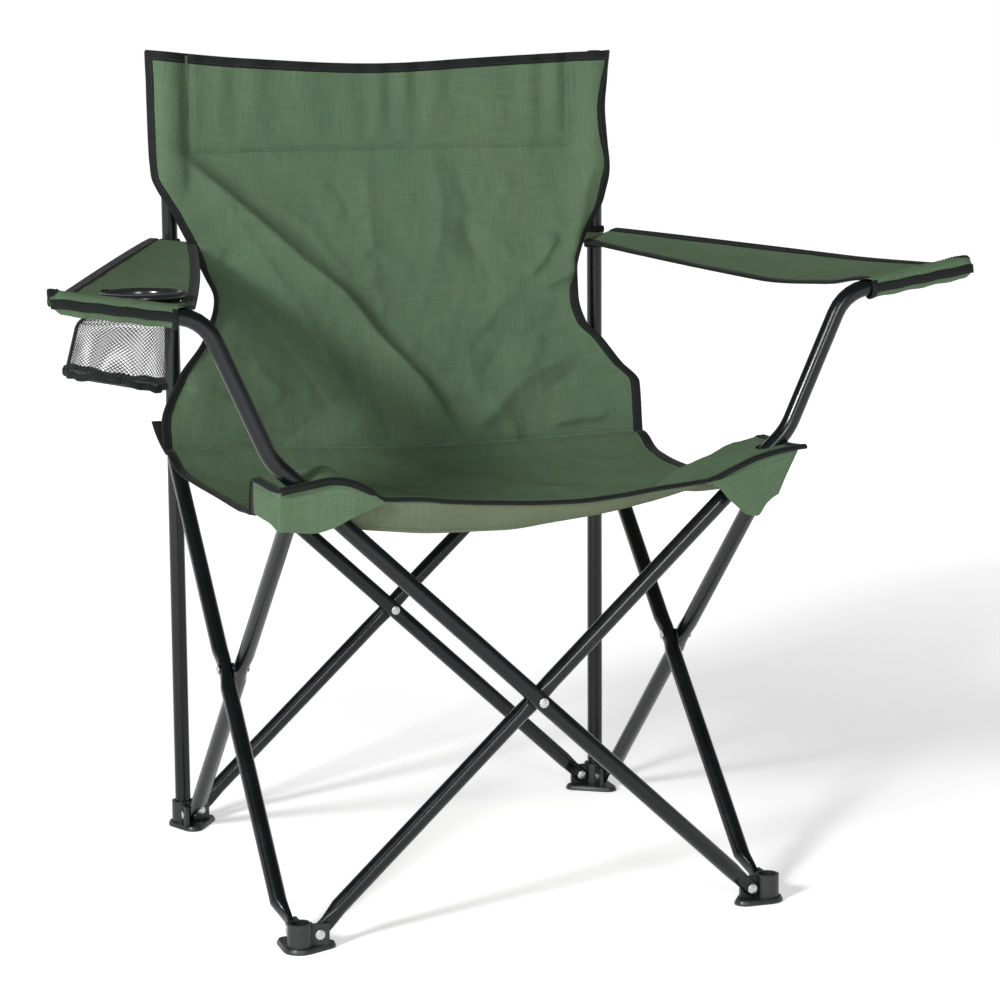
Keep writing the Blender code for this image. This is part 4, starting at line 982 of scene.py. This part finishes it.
def make_hem():
    """The fabric turned down under the front edge, whose rear side shows."""
    front, bottom = value_curve(FRONT_EDGE_HEIGHT), value_curve(HEM_BOTTOM)
    x = np.linspace(*HEM_SPAN, 102)[None, :]
    t = np.linspace(0, 1, 9)[:, None]
    top = front(x) - 0.001
    low = np.minimum(bottom(x), top - 0.002)
    z = mix(top, low, t)
    y = -0.2448 + 0.010 * t ** 1.6 + 0.0008 * np.sin(x / 0.013) * t
    cloth = Cloth(np.stack([x + 0 * t, y, z], axis=2)[:, ::-1].copy())
    sew(cloth, "seat_hem", "seat_front", SEAT_FOLD, materials=[REVERSE, GREEN])
    stitches("seat_hem_thread", "seat_front", SEAT_FOLD, [cloth.seam(-2)])


# The corner pockets: how far in along the front they reach, how much their outer side slants, and the height
# of the lower edge by the distance from that inner tip round the corner
POCKETS = {
    "right": {"tip": 0.1536, "slant": 0.0, "low": (
        (0.0, 0.4095), (0.030, 0.3985), (0.045, 0.3914), (0.064, 0.3873), (0.081, 0.3888), (0.0965, 0.3905),
        (0.13, 0.394), (0.19, 0.394))},
    "left": {"tip": 0.1565, "slant": 0.020, "low": (
        (0.0, 0.4115), (0.013, 0.4067), (0.026, 0.3957), (0.040, 0.3869), (0.053, 0.3795), (0.069, 0.3774),
        (0.082, 0.390), (0.0965, 0.3975), (0.13, 0.396), (0.19, 0.396))},
}
POCKET_CORNER = 0.2500      # from the chair's middle
POCKET_FRONT_Y = SEAT_CORNER_Y
POCKET_REAR_Y = -0.163
POCKET_BEND = 0.0022        # radius of the turn at the corner


def make_pockets():
    """The pockets that hold the seat's front corners on the connectors."""
    front = value_curve(FRONT_EDGE_HEIGHT)
    for side, sign in (("right", -1), ("left", 1)):
        facts = POCKETS[side]
        bend = POCKET_BEND
        flat_front = POCKET_CORNER - bend - facts["tip"]
        arc = bend * math.pi / 2
        total = flat_front + arc + (POCKET_REAR_Y - POCKET_FRONT_Y - bend)
        s = np.linspace(0, total, 60)
        angle = np.clip((s - flat_front) / bend, 0, math.pi / 2)
        past = np.maximum(s - flat_front - arc, 0)
        x = facts["tip"] + np.minimum(s, flat_front) + bend * np.sin(angle)
        y = POCKET_FRONT_Y + bend * (1 - np.cos(angle)) + past
        top = front(sign * np.minimum(x, POCKET_CORNER)) - 0.0005
        low = value_curve(facts["low"])(s)
        t = np.linspace(0, 1, 14)[:, None]
        z = mix(top[None, :], np.minimum(low, top - 0.001)[None, :], t)
        puff = 0.0016 * np.sin(np.pi * t) * np.sin(s[None, :] / 0.021 + 0.6)
        out_x, out_y = np.sin(angle)[None, :], -np.cos(angle)[None, :]
        x = x[None, :] - facts["slant"] * t ** 1.2 * smooth_step(s / flat_front)[None, :]
        grid = np.stack([sign * (x + out_x * puff), y[None, :] + out_y * puff, z], axis=2)
        if side == "left":
            grid = grid[:, ::-1].copy()
        cloth = Cloth(grid)
        body = f"connector_{side}"
        piece = sew(cloth, f"seat_pocket_{side}", body)
        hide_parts(f"{side}_pocket")
        rear = -1 if side == "right" else 0
        path = cloth.grid[:, rear]
        edge = (path, repeated((0, -1, 0), path), repeated((sign, 0, 0), path))
        bind(f"binding_pocket_{side}", body, None, edge, 0.006)
        stitches(f"pocket_thread_{side}", body, None, [cloth.seam(2)])


# ---------------------------------------------------------------- arms

# Each arm, from the chair's middle: its outer tip, its inner corner at the front, its rear corners, and
# how far its inner and outer edges hang below the panel's plane
ARMS = {
    "right": {"sign": -1, "body": "arm_right", "tip": 0.4445, "front_inner": 0.3200, "rear": (0.2081, 0.2535),
              "droop": 0.0, "outer_droop": 0.0},
    "left": {"sign": 1, "body": "arm_left", "tip": 0.4375, "front_inner": 0.3225, "rear": (0.2140, 0.2520),
             "droop": 0.0120, "outer_droop": 0.0040},
}
ARM_ROWS = 112              # of the panel; the sleeve's rows follow
ARM_REAR_Y = 0.2205
TUBE_BEND = (0.3093, 0.5791)
TUBE_END = (0.4318, 0.5981)
SLEEVE_MOUTH = 0.3350       # from the chair's middle to where the tube comes out of the front sleeve
SLEEVE_RING = 0.0096        # the front sleeve's cloth, from the tube's middle
CUP = (-0.345, -0.150)
CUP_HOLE = 0.0345


def tube_height(x):
    """The height of an arm tube's middle, past its upper bend."""
    slope = (TUBE_END[1] - TUBE_BEND[1]) / (TUBE_END[0] - TUBE_BEND[0])
    return TUBE_BEND[1] + (np.abs(x) - TUBE_BEND[0]) * slope


def arm_height(x, y):
    """The plane that the arms' panels lie in."""
    return 0.585 + 0.116 * (np.abs(x) - 0.315) + 0.086 * (y + 0.213)


def arm_fold(sign):
    """An arm draws in along its own length, towards its loop on the post."""
    return {"axis": (sign * 0.1485, -0.4628, -0.0183), "anchor": (sign * FRAME_HALF, 0.223, 0.613),
            "keep": ARM_KEEP}


def arm_grid(facts, tube_y):
    """The arm's panel from the post forward, then on over the tube and round it as the front sleeve."""
    sign = facts["sign"]
    reach = ARM_REAR_Y - tube_y
    t = np.linspace(0, 1, ARM_ROWS)[:, None]
    c = np.linspace(0, 1, 34)[None, :]
    inner = mix(facts["rear"][0], facts["front_inner"], t ** 1.03)
    outer = mix(facts["rear"][1], facts["tip"], t ** 0.97)
    inner = inner - 0.004 * np.sin(math.pi * t)
    x = mix(inner, outer, c)
    y = ARM_REAR_Y - reach * t + 0 * c
    z = arm_height(x, y)
    sag = 0.0048 * np.sin(math.pi * c) * np.sin(math.pi * np.clip(t * 1.04, 0, 1)) ** 0.8
    z = z - sag + ripples(x, y, 31 + sign, 0.0009, 0.07) * np.sin(math.pi * t) * 4 * c * (1 - c)
    z = z - mix(facts["droop"], facts["outer_droop"], c) * smooth_step((1.02 - t) / 0.34)
    over = smooth_step((t - 0.90) / 0.10)
    z = mix(z, tube_height(x) + SLEEVE_RING, over)
    grid = np.stack([sign * x, y, z], axis=2)
    wrap = np.radians(np.linspace(10, 300, 30))[:, None]
    inner_wrap = mix(facts["front_inner"], SLEEVE_MOUTH, smooth_step(wrap / math.radians(50)))
    x = mix(inner_wrap, facts["tip"], c)
    end = smooth_step((x - 0.4335) / 0.010)
    ring_y = SLEEVE_RING * mix(1.0, 0.75, end)
    ring_z = SLEEVE_RING * mix(1.0, 0.35, end)
    slack = 1 + 0.10 * np.maximum(-np.cos(wrap), 0)
    y = tube_y - ring_y * np.sin(wrap) * slack
    z = tube_height(x) + ring_z * np.cos(wrap) * slack
    z = z + 0.0005 * np.sin(x / 0.0045) * np.sin(wrap / 2)
    return np.concatenate([grid, np.stack([sign * x, y, z], axis=2)])


def make_arms():
    for side, facts in ARMS.items():
        sign, body = facts["sign"], facts["body"]
        grid = arm_grid(facts, ARM_TUBE_Y[side])
        # the columns run so that the normals point up on both arms
        cloth = Cloth(grid if side == "right" else grid[:, ::-1])
        keep = cloth.all()
        if side == "right":
            keep = round_opening(cloth.grid, keep, CUP, CUP_HOLE + 0.0012)
        inner_column = 0 if side == "right" else -1
        fold = arm_fold(sign)
        piece = sew(cloth, f"arm_fabric_{side}", body, fold, keep)
        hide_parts(f"{side}_arm")
        columns = {"inner": inner_column, "outer": -1 - inner_column}
        lines = []
        for edge, column in columns.items():
            path, inward, normal = edge_run(cloth, slice(0, ARM_ROWS + 2), column)
            bind(f"binding_arm_{edge}_{side}", body, fold, (path, inward, normal))
            lines += [binding_seam(path, inward, normal * face) for face in (1, -1)]
        # the band across the front of the sleeve
        front = ARM_ROWS + 7
        path = cloth.grid[front, :]
        normal = cloth.normals[front, :]
        inward = unit(cloth.grid[front + 1, :] - path)
        path = path + normal * 0.0012
        bind(f"binding_arm_front_{side}", body, fold, (path, inward, normal), 0.0070)
        lines.append((path + inward * 0.0052 + normal * 0.0015, normal))
        stitches(f"arm_thread_{side}", body, fold, lines, "dark_thread")
        # the bound mouth of the sleeve, where the tube comes out of it
        mouth = cloth.grid[ARM_ROWS + 4:, inner_column]
        edge = (mouth, repeated((sign, 0, 0.15), mouth), cloth.normals[ARM_ROWS + 4:, inner_column])
        bind(f"binding_arm_mouth_{side}", body, fold, edge, 0.0045, 0.0009, 0.0009)
        # a seam across the panel, behind the sleeve
        stitches(f"arm_seam_{side}", body, fold, [cloth.seam(int(ARM_ROWS * 0.93), slice(2, -2))])
        make_post_loop(side, sign)
    make_cup(float(arm_height(abs(CUP[0]), CUP[1])) - 0.003)


def make_post_loop(side, sign):
    """The bound loop of arm fabric round a rear post. The rising slider gathers it upward."""
    body = "frame_root" if side == "right" else "foot_rear_left"
    slider_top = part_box(f"rear_{side}_slider")[1].z + SLIDER_RISE
    anchor = (slider_top + LOOP_CLEARANCE - LOOP_KEEP * LOOP_BOTTOM) / (1 - LOOP_KEEP)
    fold = {"axis": (0, 0, 1), "anchor": (sign * FRAME_HALF, FRAME_HALF, anchor), "keep": LOOP_KEEP}
    angle = np.linspace(0, 2 * math.pi, 37)[None, :]
    t = np.linspace(0, 1, 6)[:, None]
    ring = POST_RADIUS + 0.0012 + 0.0004 * np.sin(3 * angle)
    x = sign * FRAME_HALF + ring * np.sin(angle) * 1.04
    y = FRAME_HALF - ring * np.cos(angle)
    z = mix(LOOP_TOP, LOOP_BOTTOM, t) + 0 * angle
    grid = np.stack([x + 0 * t, y + 0 * t, z], axis=2)
    cloth = Cloth(grid)
    sew(cloth, f"arm_loop_{side}", body, fold, thickness=LOOP_THICKNESS)
    for name, row, up in (("top", 0, -1.0), ("bottom", -1, 1.0)):
        path = cloth.grid[row]
        edge = (path, repeated((0, 0, up), path), cloth.normals[row])
        bind(f"binding_loop_{name}_{side}", body, fold, edge, NARROW_BINDING)


def spin(name, outline, centre, material, sides=72):
    """A closed outline of (radius, height) points turned round an upright axis."""
    outline = np.array(outline, float)
    angle = 2 * math.pi * np.arange(sides) / sides
    points = np.stack([centre[0] + outline[None, :, 0] * np.cos(angle)[:, None],
                       centre[1] + outline[None, :, 0] * np.sin(angle)[:, None],
                       centre[2] + outline[None, :, 1] + 0 * angle[:, None]], axis=2).reshape(-1, 3)
    around = len(outline)
    faces = []
    for i in range(sides):
        k = (i + 1) % sides
        for j in range(around):
            m = (j + 1) % around
            faces.append((i * around + j, k * around + j, k * around + m, i * around + m))
    piece = new_object(name, points, faces, None, None, [material])
    turn_outward(piece)
    return piece


def tubes(name, paths, radius, material, sides=4):
    """Thin round cords along many paths, as one mesh."""
    points, faces = [], []
    for path in paths:
        path = np.asarray(path, float)
        way = unit(np.gradient(path, axis=0))
        helper = np.where(np.abs(way[:, 2:3]) > 0.9, [[1.0, 0, 0]], [[0, 0, 1.0]])
        a = unit(np.cross(way, helper))
        b = np.cross(way, a)
        first = len(points)
        for p, va, vb in zip(path, a, b):
            for k in range(sides):
                angle = 2 * math.pi * k / sides
                points.append(p + radius * (va * math.cos(angle) + vb * math.sin(angle)))
        for i in range(len(path) - 1):
            for k in range(sides):
                m = (k + 1) % sides
                p, q = first + i * sides, first + (i + 1) * sides
                faces.append((p + k, p + m, q + m, q + k))
        faces.append([first + k for k in reversed(range(sides))])
        faces.append([first + (len(path) - 1) * sides + k for k in range(sides)])
    piece = new_object(name, points, faces, None, None, [material])
    turn_outward(piece)
    return piece


# The net bag: its radius at the rim and the floor, how far below the ring it starts, its depth, how far its
# floor hangs outward and how much lower on the chair's side, and its strands each way, with the cells that
# each one crosses
CUP_BAG = {"top": 0.0375, "bottom": 0.0440, "drop": 0.006, "depth": 0.066, "lean": -0.026, "tilt": 0.008,
           "strands": 66, "cells": 21}
NET_PITCH = 0.0031          # between the strands of its floor


def bag_point(angle, t, height, wobble=0.0):
    """A point on the net bag: t runs from its rim down to its floor."""
    out = 0.5 * t + 0.5 * smooth_step(t / 0.28)
    radius = mix(CUP_BAG["top"], CUP_BAG["bottom"], out) + 0.0010 * np.sin(5 * angle + 2.0) * t + wobble
    x = CUP[0] + CUP_BAG["lean"] * out + radius * np.cos(angle)
    y = CUP[1] + radius * np.sin(angle)
    z = height - CUP_BAG["drop"] - CUP_BAG["depth"] * t
    z = z + (0.0020 * np.sin(3 * angle + 0.8) - CUP_BAG["tilt"] * np.cos(angle)) * t
    return np.stack([x, y, z], axis=-1)


def make_cup(height):
    """The ring in the right arm, and the net bag under it, at the height of the arm's panel there."""
    body, fold = "arm_right", arm_fold(-1)
    lip = CUP_HOLE
    outline = [(lip + out, up) for out, up in (
        (-0.0022, -0.0075), (-0.0020, 0.0016), (-0.0008, 0.0038), (0.0014, 0.0050), (0.0040, 0.0048),
        (0.0062, 0.0036), (0.0072, 0.0018), (0.0070, 0.0006), (0.0030, 0.0002), (0.0004, -0.0010),
        (-0.0002, -0.0075))]
    ring = spin("cup_holder_ring", outline, (CUP[0], CUP[1], height + 0.0012), MATERIALS["ring"])
    attach(ring, body, fold)
    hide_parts("cup_ring")

    strands = []
    count = CUP_BAG["strands"]
    t = np.linspace(0, 1, 28)
    turn = 2 * math.pi / count * CUP_BAG["cells"]
    for way in (1, -1):
        for k in range(count):
            angle = 2 * math.pi * k / count + way * turn * t
            strands.append(bag_point(angle, t, height, 0.0003 * way))
    net = tubes("cup_net", strands, 0.00027, MATERIALS["net"])
    attach(net, body, fold)
    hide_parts("cup_bag")

    floor = []
    reach = CUP_BAG["bottom"] - 0.0005
    centre = (CUP[0] + CUP_BAG["lean"], CUP[1], height - CUP_BAG["drop"] - CUP_BAG["depth"])
    for turn in (math.radians(35), math.radians(-35)):
        along = np.array([math.cos(turn), math.sin(turn)])
        across = np.array([-math.sin(turn), math.cos(turn)])
        for d in np.arange(-reach + 0.002, reach, NET_PITCH):
            half = math.sqrt(max(reach ** 2 - d ** 2, 1e-8))
            s = np.linspace(-half, half, 9)
            flat = across[None, :] * d + along[None, :] * s[:, None]
            out = (flat ** 2).sum(axis=1) / reach ** 2
            dip = -0.004 * (1 - out) - CUP_BAG["tilt"] * flat[:, 0] / reach
            wave = 0.0020 * np.sin(3 * np.arctan2(flat[:, 1], flat[:, 0]) + 0.8) * out
            floor.append(np.column_stack([centre[0] + flat[:, 0], centre[1] + flat[:, 1],
                                          centre[2] + dip + wave]))
    attach(tubes("cup_net_floor", floor, 0.00030, MATERIALS["net"]), body, fold)

    angle = np.linspace(0, 2 * math.pi, 97)[:-1]
    for name, t_ring, width, crumple, rise in (("cup_binding_top", 0.0, 0.0045, 0.0002, 0.0010),
                                               ("cup_binding_bottom", 1.0, 0.0048, 0.0011, 0.0016)):
        wave = crumple * (np.sin(17 * angle) + 0.6 * np.sin(29 * angle + 1.3))
        path = bag_point(angle, np.full_like(angle, t_ring), height, wave)
        path[:, 2] += 0.7 * crumple * np.sin(11 * angle + 0.4)
        normal = np.column_stack([np.cos(angle), np.sin(angle), 0 * angle])
        side = repeated((0, 0, 1 if t_ring > 0 else -1), path)
        profile = binding_profile(width, rise)
        piece = sweep(name, path, side, normal, profile, MATERIALS["binding"], closed=True)
        attach(piece, body, fold)
    seam_t = np.linspace(0, 1, 24)
    seam = bag_point(np.full_like(seam_t, math.pi * 1.02), seam_t, height, 0.0006)
    edge = (seam, repeated((0, 1, 0), seam), repeated((-1, 0, 0), seam))
    bind("cup_net_seam", body, fold, edge, NARROW_BINDING)


def make_slider_tabs():
    """The small tabs that tie the seat's rear corners to the sliders on the posts."""
    for side, sign, body in (("right", -1, "slider_rear_right"), ("left", 1, "slider_rear_left")):
        t = np.linspace(0, 1, 14)
        outer = 0.2660 if side == "right" else 0.2560
        path = np.column_stack([sign * mix(outer, 0.2550, t), mix(0.178, 0.166, t), mix(0.435, 0.402, t)])
        path[:, 0] += sign * 0.0015 * np.sin(math.pi * t)
        facing, inward = repeated((0, -1, 0), path), repeated((-sign, 0.25, 0), path)
        profile = binding_profile(0.0095, 0.0011, 0.0005)
        tab = sweep(f"slider_tab_{side}", path, inward, facing, profile, MATERIALS["binding"])
        attach(tab, body)


# ---------------------------------------------------------------- floor, light and camera

CAMERA_PLACE = (-0.9189, -2.7923, 0.8437)
CAMERA_TARGET = (0.0444, 0.0036, 0.3629)
CAMERA_LENS = 108.9         # millimetres
CAMERA_ROLL = -0.3512       # degrees
# Each light's name, place, target, size and power
LIGHTS = (
    ("key", (-4.7, -3.3, 3.0), (0, 0, 0.45), (1.0, 1.0), 400),
    ("fill", (-0.6, -4.6, 1.9), (0, 0, 0.4), (1.2, 1.2), 66),
)
FLOOR_SIZE = 14.0           # from its middle to each side
FLOOR_DROP = 0.0004         # keeps it just under the feet


def make_floor():
    """A pale floor that grows lighter away from the chair, so that it meets the backdrop without a line."""
    s = Shader("studio_floor")
    place = s.add("TexCoord").outputs["Object"]
    distance = s.add("VectorMath", {0: place}, operation="LENGTH").outputs["Value"]
    tone = s.blend(s.noise(place, 3.0), (0.86, 0.86, 0.86, 1), (0.90, 0.90, 0.90, 1))
    s.set(Base_Color=tone, Roughness=0.9, Specular_IOR_Level=0.1)
    s.set(Emission_Color=(1, 1, 1, 1), Emission_Strength=s.ramp(distance, 0.5, 2.6, 0.46, 0.90))
    points = [(FLOOR_SIZE * a, FLOOR_SIZE * b, 0) for a, b in ((-1, -1), (1, -1), (1, 1), (-1, 1))]
    floor = new_object("studio_floor", points, [(0, 1, 2, 3)], None, None, [s.material])
    floor.location.z = -FLOOR_DROP
    floor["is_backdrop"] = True


def area_light(name, place, target, size, watts):
    data = bpy.data.lights.new(name, "AREA")
    data.shape = "RECTANGLE"
    data.size, data.size_y = size
    data.energy = watts
    light = bpy.data.objects.new(name, data)
    light.location = place
    light.rotation_euler = (Vector(target) - Vector(place)).to_track_quat("-Z", "Y").to_euler()
    bpy.context.scene.collection.objects.link(light)


def make_studio():
    world = bpy.data.worlds.new("studio")
    world.use_nodes = True
    nodes, link = world.node_tree.nodes, world.node_tree.links.new
    backdrop = nodes["Background"]
    backdrop.inputs["Color"].default_value = (1, 1, 1, 1)
    apart = nodes.new("ShaderNodeSeparateXYZ")
    fade = nodes.new("ShaderNodeMapRange")
    for key, value in (("From Min", 0.06), ("From Max", 0.30), ("To Min", 1.0), ("To Max", 0.14)):
        fade.inputs[key].default_value = value
    link(nodes.new("ShaderNodeTexCoord").outputs["Generated"], apart.inputs[0])
    link(apart.outputs["Z"], fade.inputs["Value"])
    link(fade.outputs[0], backdrop.inputs["Strength"])
    bpy.context.scene.world = world
    for light in LIGHTS:
        area_light(*light)
    data = bpy.data.cameras.new("camera")
    data.lens = CAMERA_LENS
    data.sensor_width = 36.0
    camera = bpy.data.objects.new("camera", data)
    place, target = Vector(CAMERA_PLACE), Vector(CAMERA_TARGET)
    roll = Matrix.Rotation(math.radians(CAMERA_ROLL), 3, "Z")
    turn = (target - place).to_track_quat("-Z", "Y").to_matrix() @ roll
    camera.matrix_world = Matrix.Translation(place) @ turn.to_4x4()
    bpy.context.scene.collection.objects.link(camera)
    bpy.context.scene.camera = camera
    bpy.context.scene.view_settings.view_transform = "Standard"


make_studio()
make_floor()
finish_cad_nodes()
make_sling()
make_rear_sleeves()
make_hem()
make_pockets()
make_arms()
make_slider_tabs()


def plain(bounds):
    return [[float(c) for c in corner] for corner in bounds]


{"cad": plain(cad_bounds), "visual": plain(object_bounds())}
